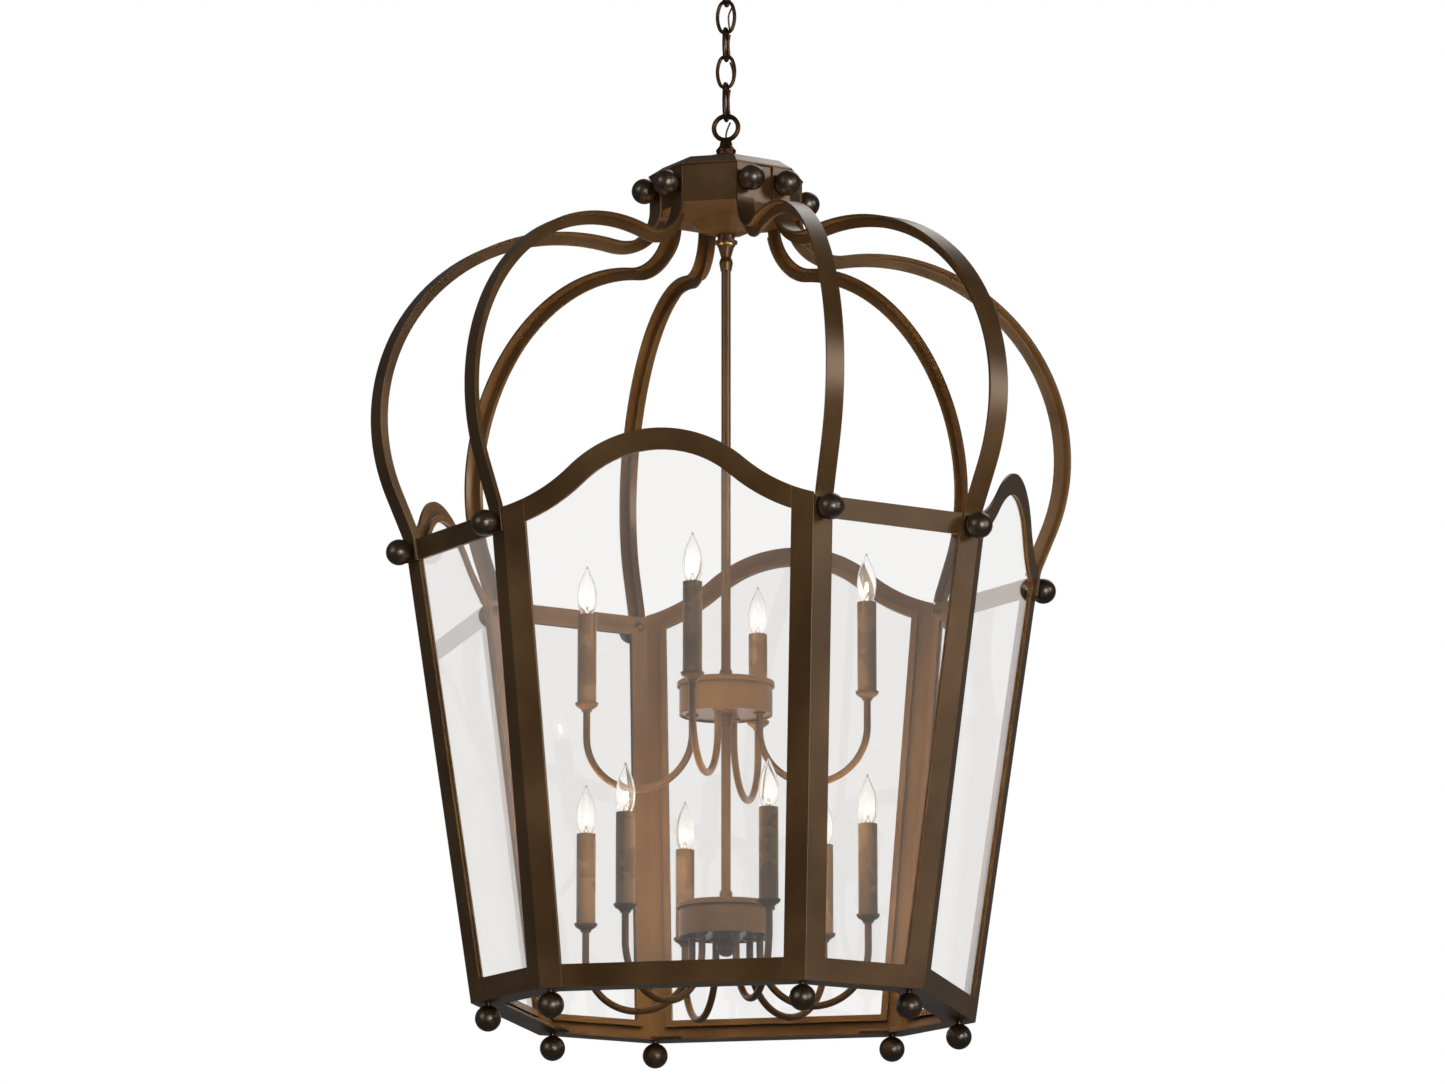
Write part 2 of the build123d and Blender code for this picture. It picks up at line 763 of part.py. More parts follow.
def bottom_ring():
    outer = extrude(octagon(ring_wide, ring_narrow, -body_height), ring_plate)
    hole = octagon(ring_wide - ring_width, ring_narrow - ring_width, -body_height - 1)
    return outer - extrude(hole, ring_plate + 2) - screw_holes(foot_seats())


def corner_tabs():
    """flat tabs on the bottom ring beside each foot screw, which reach a little past the ring's inner edge"""
    tab = Box(tab_width, tab_length, tab_thickness)
    wide = ring_wide - ring_width - tab_overhang + tab_width / 2
    screw_side = sqrt(2) * (narrow_at(-body_height) - foot_inset) - (wide_at(-body_height) - foot_inset)
    tabs = []
    for azimuth in wide_azimuths:
        for side in (-1, 1):
            place = out(azimuth) * wide + along(azimuth) * (side * (screw_side - tab_length / 2))
            place += Vector(0, 0, ring_plate + tab_thickness / 2 - body_height)
            tabs.append(Pos(place) * Rot(0, 0, azimuth) * tab)
    return grouped(tabs)


def behind(plane, region, depth, thickness):
    """a layer behind a face, from a depth under its outer surface"""
    return extrude(plane.offset(-depth - thickness) * region, thickness)


def wide_panes():
    region = wide_opening(glass_lap)
    return grouped(behind(wide_plane(azimuth), region, plate, glass_thickness) for azimuth in wide_azimuths)


def narrow_panes():
    region = narrow_opening(glass_lap)
    return grouped(behind(narrow_plane(azimuth), region, plate, glass_thickness)
                   for azimuth in narrow_azimuths)


def glass_stops():
    depth = plate + glass_thickness
    wide = wide_opening(stop_width) - wide_opening(0)
    narrow = narrow_opening(stop_width) - narrow_opening(0)
    stops = [behind(wide_plane(azimuth), wide, depth, stop_thickness) for azimuth in wide_azimuths]
    stops += [behind(narrow_plane(azimuth), narrow, depth, stop_thickness) for azimuth in narrow_azimuths]
    return grouped(stops)


# ---------------------------------------------------------------- stem, couplings and hubs
coupling_top = drum_bottom - pan_depth
lip_top = coupling_top - coupling_height
check_top = lip_top - coupling_lip_height
cone_top = check_top - check_ring_height
knuckle_top = cone_top - cone_height
knuckle_foot = knuckle_top - knuckle_height
stem_top = knuckle_foot + stem_grip
shank_hole = shank_radius + slip
stem_hole = stem_radius + slip


def hub_floor_level(level):
    return level - hub_height + hub_floor_recess


upper_floor = hub_floor_level(upper_hub_level)
lower_floor = hub_floor_level(lower_hub_level)
stem_joint = upper_floor - joint_collar_length / 2


def stem_coupling():
    return turned((shank_hole, coupling_top), (coupling_radius, coupling_top), (coupling_radius, lip_top),
                  (coupling_lip_radius, lip_top), (coupling_lip_radius, check_top), (shank_hole, check_top))


def check_ring():
    bevel = 0.8
    return turned((shank_hole, check_top), (check_ring_radius - bevel, check_top),
                  (check_ring_radius, check_top - bevel), (check_ring_radius, cone_top + bevel),
                  (check_ring_radius - bevel, cone_top), (shank_hole, cone_top))


def coupling_cup():
    crest = knuckle_top - knuckle_crest_drop
    return turned((shank_hole, cone_top), (cone_top_radius, cone_top), (cone_top_radius, cone_top - 2),
                  (cone_foot_radius, knuckle_top + 1), (cone_foot_radius, knuckle_top),
                  (knuckle_shoulder_radius, crest + knuckle_shoulder), (knuckle_radius, crest),
                  (knuckle_shoulder_radius, crest - knuckle_shoulder), (stem_radius + 1, knuckle_foot),
                  (stem_hole, knuckle_foot), (stem_hole, stem_top), (shank_hole, stem_top))


def stem(low, high):
    return tube(stem_radius, stem_bore_radius, low, high)


def arm_places(count, radius):
    """where a hub's arms stand: evenly round the stem, the first one on +X"""
    return [out(360 / count * index) * radius for index in range(count)]


def hub(level, arm_count):
    """an open-topped drum with a recessed floor, with a boss for each arm"""
    floor = hub_floor_level(level)
    rim = level - hub_sheet
    inside = hub_radius - hub_sheet
    shape = turned((stem_hole, floor), (inside, floor), (inside, level - hub_height),
                   (hub_radius, level - hub_height), (hub_radius, rim), (inside, rim),
                   (inside, floor + hub_sheet), (stem_hole, floor + hub_sheet))
    boss = rod(arm_boss_radius, floor - arm_boss_height, floor)
    hole = rod(arm_radius + slip, floor - arm_boss_height - 1, floor + hub_sheet + 1)
    places = arm_places(arm_count, arm_root)
    shape += [Pos(place) * boss for place in places]
    return shape - [Pos(place) * hole for place in places]


def hub_lid(level):
    return turned((stem_hole, level), (lid_radius - 1, level), (lid_radius, level - 1),
                  (lid_radius, level - lid_skirt), (lid_radius - hub_sheet, level - lid_skirt),
                  (lid_radius - hub_sheet, level - hub_sheet), (stem_hole, level - hub_sheet))


def stem_collars():
    """a collar above each lid, and the one under the upper hub where the two stems meet"""
    collars = []
    for level in (upper_hub_level, lower_hub_level):
        top = level + collar_rise
        collars.append(turned((stem_hole, level), (stem_collar_radius, level), (stem_collar_radius, top - 3),
                              (stem_radius + 1, top), (stem_hole, top)))
    collars.append(tube(joint_collar_radius, stem_hole, upper_floor - joint_collar_length, upper_floor))
    return grouped(collars)


def hub_finial():
    """the ball nut under the lower hub, which carries it on the lower stem"""
    centre = lower_hub_level - hub_height - finial_radius
    shape = Pos(0, 0, centre) * Sphere(finial_radius) + rod(finial_neck_radius, centre, lower_floor)
    return shape - rod(stem_hole, centre, lower_floor + 1)


# ---------------------------------------------------------------- arms and candles
arm_bend_radius = (candle_circle - arm_root) / 2


def arm(level):
    """one arm on +X: down from the hub's floor, round a half circle and up to its cup"""
    rim = level - cup_rim_below_lid
    bend_level = rim - arm_drop + arm_bend_radius
    middle = (candle_circle + arm_root) / 2
    start = hub_floor_level(level) + arm_stub
    end = rim - sleeve_seat - 1
    path = Wire([
        Line((arm_root, 0, start), (arm_root, 0, bend_level)),
        ThreePointArc((arm_root, 0, bend_level), (middle, 0, bend_level - arm_bend_radius),
                      (candle_circle, 0, bend_level)),
        Line((candle_circle, 0, bend_level), (candle_circle, 0, end)),
    ])
    section = Plane(path @ 0, z_dir=path % 0) * (Circle(arm_radius) - Circle(arm_bore_radius))
    return sweep(section, path=path)


def arms(level, count):
    piece = arm(level)
    return grouped(Rot(0, 0, 360 / count * index) * piece for index in range(count))


def at_candles(piece):
    """copies of a piece that is drawn round Z with z = 0 at its cup's rim, one for each candle"""
    copies = []
    for level, count in ((upper_hub_level, upper_arm_count), (lower_hub_level, lower_arm_count)):
        rim = level - cup_rim_below_lid
        copies += [Pos(place) * Pos(0, 0, rim) * piece for place in arm_places(count, candle_circle)]
    return grouped(copies)


def candle_cup():
    hole = arm_radius + slip
    seat = sleeve_radius + slip
    return turned((hole, -cup_height), (cup_foot_radius - 1, -cup_height),
                  (cup_foot_radius, -cup_rim_height - cup_bowl_height),
                  (cup_belly_radius, -cup_rim_height - cup_belly_drop),
                  (cup_rim_radius, -cup_rim_height), (cup_rim_radius, 0), (seat, 0), (seat, -sleeve_seat),
                  (hole, -sleeve_seat))


def candle_sleeve():
    return tube(sleeve_radius, sleeve_radius - sleeve_wall, -sleeve_seat, sleeve_height)


socket_top = sleeve_height - socket_recess


def lamp_socket():
    foot = socket_top - socket_height
    shape = rod(arm_radius, -sleeve_seat - 1, foot) + rod(socket_radius, foot, socket_top)
    return shape - rod(socket_well_radius, socket_top - socket_well_depth, socket_top + 1)


def bulb_base():
    low = socket_top + 1 - bulb_base_height
    return turned((0, low - 1.5), (bulb_tip_radius, low - 1.5), (bulb_tip_radius, low),
                  (bulb_base_radius, low + 2), (bulb_base_radius, socket_top + 1), (0, socket_top + 1))


def bulb_curve(wall):
    """the flame-shaped glass's half outline, moved in by a wall"""
    shares = ((0.53, 0.0), (0.84, 0.13), (0.95, 0.22), (1.0, 0.40), (0.87, 0.59), (0.67, 0.71),
              (0.35, 0.845), (0.14, 0.94))
    start = socket_top + 1
    span = sleeve_height + bulb_height - start - wall
    return [(bulb_radius * width - wall, 0, start + span * height) for width, height in shares], start + span


def bulb():
    """a hollow flame-shaped glass, open at its neck where the base closes it"""
    outer, outer_top = bulb_curve(0)
    inner, inner_top = bulb_curve(bulb_wall)
    outer.append((0, 0, outer_top))
    inner.append((0, 0, inner_top - 2 * bulb_wall))
    outline = [Spline(*outer), Line(outer[-1], inner[-1]), Spline(*inner), Line(inner[0], outer[0])]
    return revolve(make_face(outline), axis=Axis.Z)


# ---------------------------------------------------------------- build and write
def build():
    parts = {
        "mounting_strap": mounting_strap(),
        "shank_nut": shank_nut(),
        "ceiling_canopy": ceiling_canopy(),
        "canopy_collar": canopy_collar(),
        "canopy_loop": canopy_loop(),
        "crown_loop": crown_loop(),
    }
    for index, (length, top) in enumerate(zip(link_lengths, link_tops)):
        plane = Plane.XZ if index % 2 == 0 else Plane.YZ
        parts[f"chain_link_{index + 1}"] = chain_link(length, top, plane)
    for index, route in enumerate(cord_routes()):
        parts[f"supply_cord_{index + 1}"] = supply_cord(route)

    lantern = {
        "crown_roof": crown_roof(),
        "crown_drum": crown_drum(),
        "crown_pan": crown_pan(),
        "crown_balls": balls("crown", crown_seats()),
        "girdle_balls": balls("girdle", girdle_seats()),
        "foot_balls": balls("foot", foot_seats(), foot_neck_length),
        "ball_nuts": ball_nuts(),
        "narrow_top_rails": narrow_top_rails(),
        "bottom_rails": bottom_rails(),
        "bottom_ring": bottom_ring(),
        "corner_tabs": corner_tabs(),
        "wide_panes": wide_panes(),
        "narrow_panes": narrow_panes(),
        "glass_stops": glass_stops(),
        "stem_coupling": stem_coupling(),
        "check_ring": check_ring(),
        "coupling_cup": coupling_cup(),
        "upper_stem": stem(stem_joint, stem_top),
        "lower_stem": stem(lower_hub_level - hub_height - finial_radius, stem_joint),
        "upper_hub": hub(upper_hub_level, upper_arm_count),
        "lower_hub": hub(lower_hub_level, lower_arm_count),
        "hub_lids": grouped([hub_lid(upper_hub_level), hub_lid(lower_hub_level)]),
        "stem_collars": stem_collars(),
        "hub_finial": hub_finial(),
        "upper_arms": arms(upper_hub_level, upper_arm_count),
        "lower_arms": arms(lower_hub_level, lower_arm_count),
        "candle_cups": at_candles(candle_cup()),
        "candle_sleeves": at_candles(candle_sleeve()),
        "lamp_sockets": at_candles(lamp_socket()),
        "bulb_bases": at_candles(bulb_base()),
        "bulbs": at_candles(bulb()),
    }
    stations = [(azimuth, side) for azimuth in narrow_azimuths for side in (-1, 1)]
    rib_screws = zip(crown_seats(), girdle_seats())
    for index, ((azimuth, side), screws) in enumerate(zip(stations, rib_screws)):
        lantern[f"rib_{index + 1}"] = rib(azimuth, side, screws)
    lantern["corner_posts"] = grouped(corner_post(azimuth, side) for azimuth in wide_azimuths
                                      for side in (-1, 1))
    for index, azimuth in enumerate(wide_azimuths):
        lantern[f"arched_rail_{index + 1}"] = arched_rail(azimuth)

    parts.update({name: hang(shape) for name, shape in lantern.items()})
    return parts


os.makedirs("parts", exist_ok=True)
for name, shape in build().items():
    export_step(shape, f"parts/{name}.step")
print("girdle level", round(girdle_level, 3), "hooks", [round(hook, 3) for hook in hooks],
      "loop level", round(loop_level, 3))
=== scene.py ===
import json
import math
import bmesh
import bpy
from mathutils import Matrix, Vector


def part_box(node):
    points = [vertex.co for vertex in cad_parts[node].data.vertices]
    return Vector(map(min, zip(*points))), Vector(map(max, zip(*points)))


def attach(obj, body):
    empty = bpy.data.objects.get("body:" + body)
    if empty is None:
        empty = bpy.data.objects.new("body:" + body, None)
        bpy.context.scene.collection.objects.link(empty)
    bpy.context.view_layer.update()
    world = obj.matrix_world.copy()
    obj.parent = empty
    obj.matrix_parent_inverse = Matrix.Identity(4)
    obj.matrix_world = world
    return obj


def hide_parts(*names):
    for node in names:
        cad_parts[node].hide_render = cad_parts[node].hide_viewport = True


# A glass lantern on its chain, dressed round its CAD frame. Metres, +Z up, the ceiling at zero.
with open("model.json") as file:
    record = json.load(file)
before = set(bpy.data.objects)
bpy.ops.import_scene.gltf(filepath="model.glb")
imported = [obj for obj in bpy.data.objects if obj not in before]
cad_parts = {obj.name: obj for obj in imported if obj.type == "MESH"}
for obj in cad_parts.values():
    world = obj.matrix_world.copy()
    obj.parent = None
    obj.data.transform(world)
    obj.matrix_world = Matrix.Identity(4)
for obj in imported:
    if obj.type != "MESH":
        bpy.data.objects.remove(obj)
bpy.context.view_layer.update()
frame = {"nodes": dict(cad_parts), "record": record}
cadNodes = frame["nodes"]
sameSpot = 1e-6            # points of a CAD mesh closer than this are one
ringToGirdle = 0.5945      # from the bottom ring's underside up to the shoulder balls' screws
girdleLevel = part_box("bottom_ring")[0].z + ringToGirdle
print("lantern frame loaded with", len(cadNodes), "CAD nodes, girdle at", round(girdleLevel, 4))

viewCamera = {
    "lens": 157.61, "sensor": 36.0, "near": 0.1, "far": 100.0,      # millimetres, then metres
    "distance": 8.2843, "belowGirdle": 1.6483,
    "azimuth": 13.193, "pitch": 11.508, "turn": 13.226,             # degrees
}
# each lamp stands at a place counted from the girdle's middle and faces it
warmWhite = (1.0, 0.98, 0.95)
studioLamps = [
    {"name": "keySoftbox", "at": (-2.6, -3.2, 1.0), "size": 1.8, "watts": 50.0, "colour": warmWhite},
    {"name": "nearSoftbox", "at": (2.4, -3.3, -0.45), "size": 1.4, "watts": 175.0, "colour": warmWhite},
    {"name": "sideSoftbox", "at": (3.9, -0.9, 0.75), "size": 1.1, "watts": 50.0, "colour": (0.90, 0.95, 1.0)},
    {"name": "backSoftbox", "at": (0.4, 3.4, 3.0), "size": 2.0, "watts": 30.0, "colour": (1.0, 1.0, 1.0)},
]
room = {
    "floorDrop": 2.05, "floorSize": 16.0, "floorColour": (0.86, 0.86, 0.85, 1.0),
    "daylight": 0.34,                         # what reaches the lantern from all round
    "metalShine": 0.12, "glassShine": 0.85,   # how bright the room looks in rough metal and in smooth glass
    "imageEdge": 0.003,                       # how softly a lamp's image ends in the metal
}
white = (1.0, 1.0, 1.0, 1.0)


def feed(tree, node, inputs):
    # gives each input its value, or joins it to another node's output
    for socket, value in inputs.items():
        if isinstance(value, bpy.types.NodeSocket):
            tree.links.new(value, node.inputs[socket])
        else:
            node.inputs[socket].default_value = value


def addNode(tree, kind, inputs=None, **settings):
    made = tree.nodes.new(kind)
    for setting, value in settings.items():
        setattr(made, setting, value)
    feed(tree, made, inputs or {})
    return made


def outOf(tree, kind, inputs=None, output=0, **settings):
    # one node, from which a single output goes on
    return addNode(tree, kind, inputs, **settings).outputs[output]


def reckoned(tree, operation, first, second):
    return outOf(tree, "ShaderNodeMath", {0: first, 1: second}, operation=operation)


def mapped(tree, source, given, wanted=(0.0, 1.0)):
    # moves a value from the given range to the wanted one, and stops at its ends
    ends = {"From Min": given[0], "From Max": given[1], "To Min": wanted[0], "To Max": wanted[1]}
    return outOf(tree, "ShaderNodeMapRange", {"Value": source, **ends}, "Result")


def shaderMix(tree, share, first, second):
    return outOf(tree, "ShaderNodeMixShader", {"Fac": share, 1: first, 2: second})


def link(piece):
    bpy.context.scene.collection.objects.link(piece)
    return piece


def makeCamera():
    data = bpy.data.cameras.new("viewCamera")
    data.sensor_width = viewCamera["sensor"]
    data.lens = viewCamera["lens"]
    data.clip_start = viewCamera["near"]
    data.clip_end = viewCamera["far"]
    camera = link(bpy.data.objects.new("viewCamera", data))
    around = math.radians(viewCamera["azimuth"])
    reach = viewCamera["distance"]
    level = girdleLevel - viewCamera["belowGirdle"]
    camera.location = (reach * math.sin(around), -reach * math.cos(around), level)
    camera.rotation_euler = (math.radians(90 + viewCamera["pitch"]), 0.0, math.radians(viewCamera["turn"]))
    bpy.context.scene.camera = camera


def makeLamps():
    middle = Vector((0, 0, girdleLevel))
    for lamp in studioLamps:
        data = bpy.data.lights.new(lamp["name"], "AREA")
        data.shape = "SQUARE"
        data.size = lamp["size"]
        data.energy = lamp["watts"]
        data.color = lamp["colour"]
        light = link(bpy.data.objects.new(lamp["name"], data))
        light.location = middle + Vector(lamp["at"])
        light.rotation_euler = (middle - light.location).to_track_quat("-Z", "Y").to_euler()
        light.visible_camera = False
        light.visible_glossy = False      # metal mirrors the room's image of the lamp, and panes mirror none
        light.visible_transmission = False


def lampImages(tree):
    # a round image of each lamp in the direction where it stands, as bright as the lamp
    direction = outOf(tree, "ShaderNodeTexCoord", output="Generated")
    soft = room["imageEdge"]
    total = 0.0
    for lamp in studioLamps:
        toward = Vector(lamp["at"])
        edge = math.cos(math.atan(lamp["size"] / math.sqrt(math.pi) / toward.length))
        brightness = lamp["watts"] / math.pi / lamp["size"] ** 2
        facing = outOf(tree, "ShaderNodeVectorMath", {0: direction, 1: toward.normalized()}, "Value",
                       operation="DOT_PRODUCT")
        image = mapped(tree, facing, (edge - soft, edge + soft), (0.0, brightness))
        total = reckoned(tree, "ADD", total, image)
    return total


def roomShine(tree, ray, images=0.0):
    # dim in rough metal, but for the lamps' images, and plain and bright in smooth glass
    inMetal = reckoned(tree, "ADD", room["metalShine"], images)
    return outOf(tree, "ShaderNodeMix", {0: ray["Is Singular Ray"], 2: inMetal, 3: room["glassShine"]},
                 data_type="FLOAT")


def makeWorld():
    # white straight on and through glass, dimmer in reflections and as light on the lantern
    world = bpy.data.worlds.new("paleRoom")
    world.use_nodes = True
    bpy.context.scene.world = world
    tree = world.node_tree
    tree.nodes.clear()
    ray = addNode(tree, "ShaderNodeLightPath").outputs
    straight = reckoned(tree, "MAXIMUM", ray["Is Camera Ray"], ray["Is Transmission Ray"])
    shades = [outOf(tree, "ShaderNodeBackground", {"Color": white, "Strength": strength})
              for strength in (room["daylight"], roomShine(tree, ray, lampImages(tree)), 1.0)]
    around = shaderMix(tree, ray["Is Glossy Ray"], shades[0], shades[1])
    addNode(tree, "ShaderNodeOutputWorld", {"Surface": shaderMix(tree, straight, around, shades[2])})


def makeFloor():
    # pale paint that looks white straight on, and nothing at all from underneath
    half = room["floorSize"] / 2
    level = girdleLevel - room["floorDrop"]
    corners = [(-half, -half, level), (half, -half, level), (half, half, level), (-half, half, level)]
    mesh = bpy.data.meshes.new("roomFloor")
    mesh.from_pydata(corners, [], [(0, 1, 2, 3)])
    floor = link(bpy.data.objects.new("roomFloor", mesh))
    material = bpy.data.materials.new("paleFloor")
    material.use_nodes = True
    tree = material.node_tree
    tree.nodes.clear()
    ray = addNode(tree, "ShaderNodeLightPath").outputs
    straight = reckoned(tree, "MAXIMUM", ray["Is Camera Ray"], ray["Is Transmission Ray"])
    underneath = outOf(tree, "ShaderNodeNewGeometry", output="Backfacing")
    paint = outOf(tree, "ShaderNodeBsdfDiffuse", {"Color": room["floorColour"]})
    clear = outOf(tree, "ShaderNodeBsdfTransparent")
    shades = [outOf(tree, "ShaderNodeEmission", {"Color": white, "Strength": strength})
              for strength in (roomShine(tree, ray), 1.0)]
    around = shaderMix(tree, ray["Is Glossy Ray"], paint, shades[0])
    above = shaderMix(tree, straight, around, shades[1])
    addNode(tree, "ShaderNodeOutputMaterial", {"Surface": shaderMix(tree, underneath, above, clear)})
    mesh.materials.append(material)


makeCamera()
makeLamps()
makeWorld()
makeFloor()
bpy.context.scene.view_settings.view_transform = "Standard"
print("camera, lamps and room ready")


def startFinish(name):
    material = bpy.data.materials.new(name)
    material.use_nodes = True
    tree = material.node_tree
    place = outOf(tree, "ShaderNodeTexCoord", output="Object")
    return material, tree, tree.nodes["Principled BSDF"], place


def noiseOf(tree, place, scale, detail, roughness=0.55):
    inputs = {"Vector": place, "Scale": scale, "Detail": detail, "Roughness": roughness}
    return outOf(tree, "ShaderNodeTexNoise", inputs, "Fac")


def bumped(tree, height, strength, depth, normal=None):
    inputs = {"Height": height, "Strength": strength, "Distance": depth}
    if normal is not None:
        inputs["Normal"] = normal
    return outOf(tree, "ShaderNodeBump", inputs)


def blended(tree, amount, first, second):
    # a mix of two colours, each one a value or another node's output
    colours = [(*value, 1.0) if isinstance(value, tuple) else value for value in (first, second)]
    return outOf(tree, "ShaderNodeMix", {0: amount, 6: colours[0], 7: colours[1]}, 2, data_type="RGBA")


# edge wear and painted edge highlight begin where a rounded normal agrees with its face this far, and are
# full at the second value
edgeRoundingAndMask = {"samples": 4, "agreement": (0.95, 0.75)}


def roundedEdgesWithWearAndHighlight(tree, radius):
    # the rounded normal of every edge, and how far it turns from the face's own
    rounded = outOf(tree, "ShaderNodeBevel", {"Radius": radius}, "Normal", samples=edgeRoundingAndMask["samples"])
    face = outOf(tree, "ShaderNodeNewGeometry", output="Normal")
    turn = outOf(tree, "ShaderNodeVectorMath", {0: rounded, 1: face}, "Value", operation="DOT_PRODUCT")
    return rounded, mapped(tree, turn, edgeRoundingAndMask["agreement"])


# the part of each noise's range that counts, and the depth of the grain in metres
bronzeNoise = {"blotchDetail": 4.0, "blotchRange": (0.35, 0.68), "grainDetail": 2.0, "grainRoughness": 0.7,
               "wearAndHighlightDetail": 2.0, "wearAndHighlightRange": (0.45, 0.75), "depth": 0.0004}
bronzeLooks = {
    "lanternBronze": {
        "dark": (0.033, 0.0160, 0.0046), "light": (0.060, 0.0315, 0.0112), "edgeWearAndHighlightColour": (0.26, 0.16, 0.085),
        "blotchScale": 7.0, "grainScale": 130.0, "wearAndHighlightScale": 46.0, "edgeRadius": 0.0009, "edgeWearAndHighlightAmount": 0.5,
        "metallic": 0.4, "specular": 0.42, "rim": (0.92, 0.88, 0.84), "gloss": (0.28, 0.38), "bump": 0.01},
    "ballBronze": {
        "dark": (0.008, 0.0040, 0.0014), "light": (0.018, 0.0092, 0.0034), "edgeWearAndHighlightColour": (0.20, 0.12, 0.07),
        "blotchScale": 30.0, "grainScale": 500.0, "wearAndHighlightScale": 60.0, "edgeRadius": 0.0006, "edgeWearAndHighlightAmount": 0.3,
        "metallic": 0.3, "specular": 1.0, "rim": (0.95, 0.86, 0.76), "gloss": (0.34, 0.38), "bump": 0.005},
    "chainBronze": {
        "dark": (0.021, 0.0100, 0.0036), "light": (0.045, 0.0225, 0.0092), "edgeWearAndHighlightColour": (0.34, 0.20, 0.11),
        "blotchScale": 45.0, "grainScale": 650.0, "wearAndHighlightScale": 120.0, "edgeRadius": 0.0006, "edgeWearAndHighlightAmount": 0.5,
        "metallic": 0.7, "specular": 0.30, "rim": (0.70, 0.60, 0.50), "gloss": (0.26, 0.38), "bump": 0.06},
    "candleBronze": {
        "dark": (0.056, 0.031, 0.014), "light": (0.115, 0.070, 0.034), "edgeWearAndHighlightColour": (0.36, 0.23, 0.12),
        "blotchScale": 16.0, "grainScale": 520.0, "wearAndHighlightScale": 90.0, "edgeRadius": 0.0006, "edgeWearAndHighlightAmount": 0.4,
        "metallic": 0.55, "specular": 0.45, "rim": (0.85, 0.76, 0.66), "gloss": (0.22, 0.32), "bump": 0.02},
}


def bronzeFinish(name, look):
    material, tree, shader, place = startFinish(name)
    blotch = noiseOf(tree, place, look["blotchScale"], bronzeNoise["blotchDetail"])
    blotches = mapped(tree, blotch, bronzeNoise["blotchRange"])
    grain = noiseOf(tree, place, look["grainScale"], bronzeNoise["grainDetail"],
                    bronzeNoise["grainRoughness"])
    rounded, edge = roundedEdgesWithWearAndHighlight(tree, look["edgeRadius"])
    patch = noiseOf(tree, place, look["wearAndHighlightScale"], bronzeNoise["wearAndHighlightDetail"])
    patches = mapped(tree, patch, bronzeNoise["wearAndHighlightRange"], (0.0, look["edgeWearAndHighlightAmount"]))
    # the lighter colour on the edges is partly wear and partly a painted highlight where edges catch light
    edgeWearAndHighlightShare = reckoned(tree, "MULTIPLY", edge, patches)
    paint = blended(tree, blotches, look["dark"], look["light"])
    feed(tree, shader, {
        "Base Color": blended(tree, edgeWearAndHighlightShare, paint, look["edgeWearAndHighlightColour"]),
        "Metallic": look["metallic"],
        "Specular IOR Level": look["specular"],
        "Specular Tint": (*look["rim"], 1.0),      # holds back the pale rim at grazing angles
        "Roughness": mapped(tree, blotches, (0.0, 1.0), look["gloss"]),
        "Normal": bumped(tree, grain, look["bump"], bronzeNoise["depth"], rounded),
    })
    return material


metalNoise = {"cloudDetail": 3.0, "cloudRange": (0.3, 0.7), "grainDetail": 2.0, "depth": 0.0003}
metalLooks = {
    "agedBrass": {"dark": (0.42, 0.23, 0.06), "light": (0.66, 0.42, 0.14), "metallic": 1.0,
                  "cloudScale": 90.0, "grainScale": 700.0, "gloss": (0.24, 0.40), "bump": 0.08},
    "zincSteel": {"dark": (0.36, 0.37, 0.38), "light": (0.58, 0.59, 0.58), "metallic": 1.0,
                  "cloudScale": 120.0, "grainScale": 900.0, "gloss": (0.28, 0.45), "bump": 0.1},
    "lampCapNickel": {"dark": (0.50, 0.44, 0.34), "light": (0.68, 0.61, 0.50), "metallic": 1.0,
                      "cloudScale": 150.0, "grainScale": 900.0, "gloss": (0.22, 0.38), "bump": 0.05},
    "socketShell": {"dark": (0.016, 0.014, 0.013), "light": (0.034, 0.030, 0.027), "metallic": 0.0,
                    "cloudScale": 90.0, "grainScale": 800.0, "gloss": (0.38, 0.50), "bump": 0.1},
}


def plainMetalFinish(name, look):
    material, tree, shader, place = startFinish(name)
    cloud = noiseOf(tree, place, look["cloudScale"], metalNoise["cloudDetail"])
    grain = noiseOf(tree, place, look["grainScale"], metalNoise["grainDetail"])
    feed(tree, shader, {
        "Base Color": blended(tree, cloud, look["dark"], look["light"]),
        "Metallic": look["metallic"],
        "Roughness": mapped(tree, cloud, metalNoise["cloudRange"], look["gloss"]),
        "Normal": bumped(tree, grain, look["bump"], metalNoise["depth"]),
    })
    return material


glassNoise = {"filmDetail": 3.0, "filmRange": (0.4, 0.7), "waveDetail": 1.0, "depth": 0.0005}
glassLooks = {
    "clearPane": {"tint": (0.905, 0.900, 0.890), "ior": 1.46, "filmScale": 3.0, "gloss": (0.0, 0.0),
                  "wave": 0.02, "waveScale": 5.0},
    "clearBulb": {"tint": (0.985, 0.985, 0.985), "ior": 1.45, "filmScale": 60.0, "gloss": (0.01, 0.03),
                  "wave": 0.03, "waveScale": 60.0},
}
# painted glow in the bulb's glass, brightest beside the filament; its sealed tip is grey; stops: shares of
# its height
paintedBulbGlow = {
    "colour": (0.085, 0.074, 0.060),
    "stops": ((0.0, 0.1), (0.12, 0.5), (0.30, 1.0), (0.48, 0.75), (0.70, 0.3), (0.86, 0.12)),
    "tip": (0.93, 0.97), "tipGrey": (0.35, 0.34, 0.33),
}


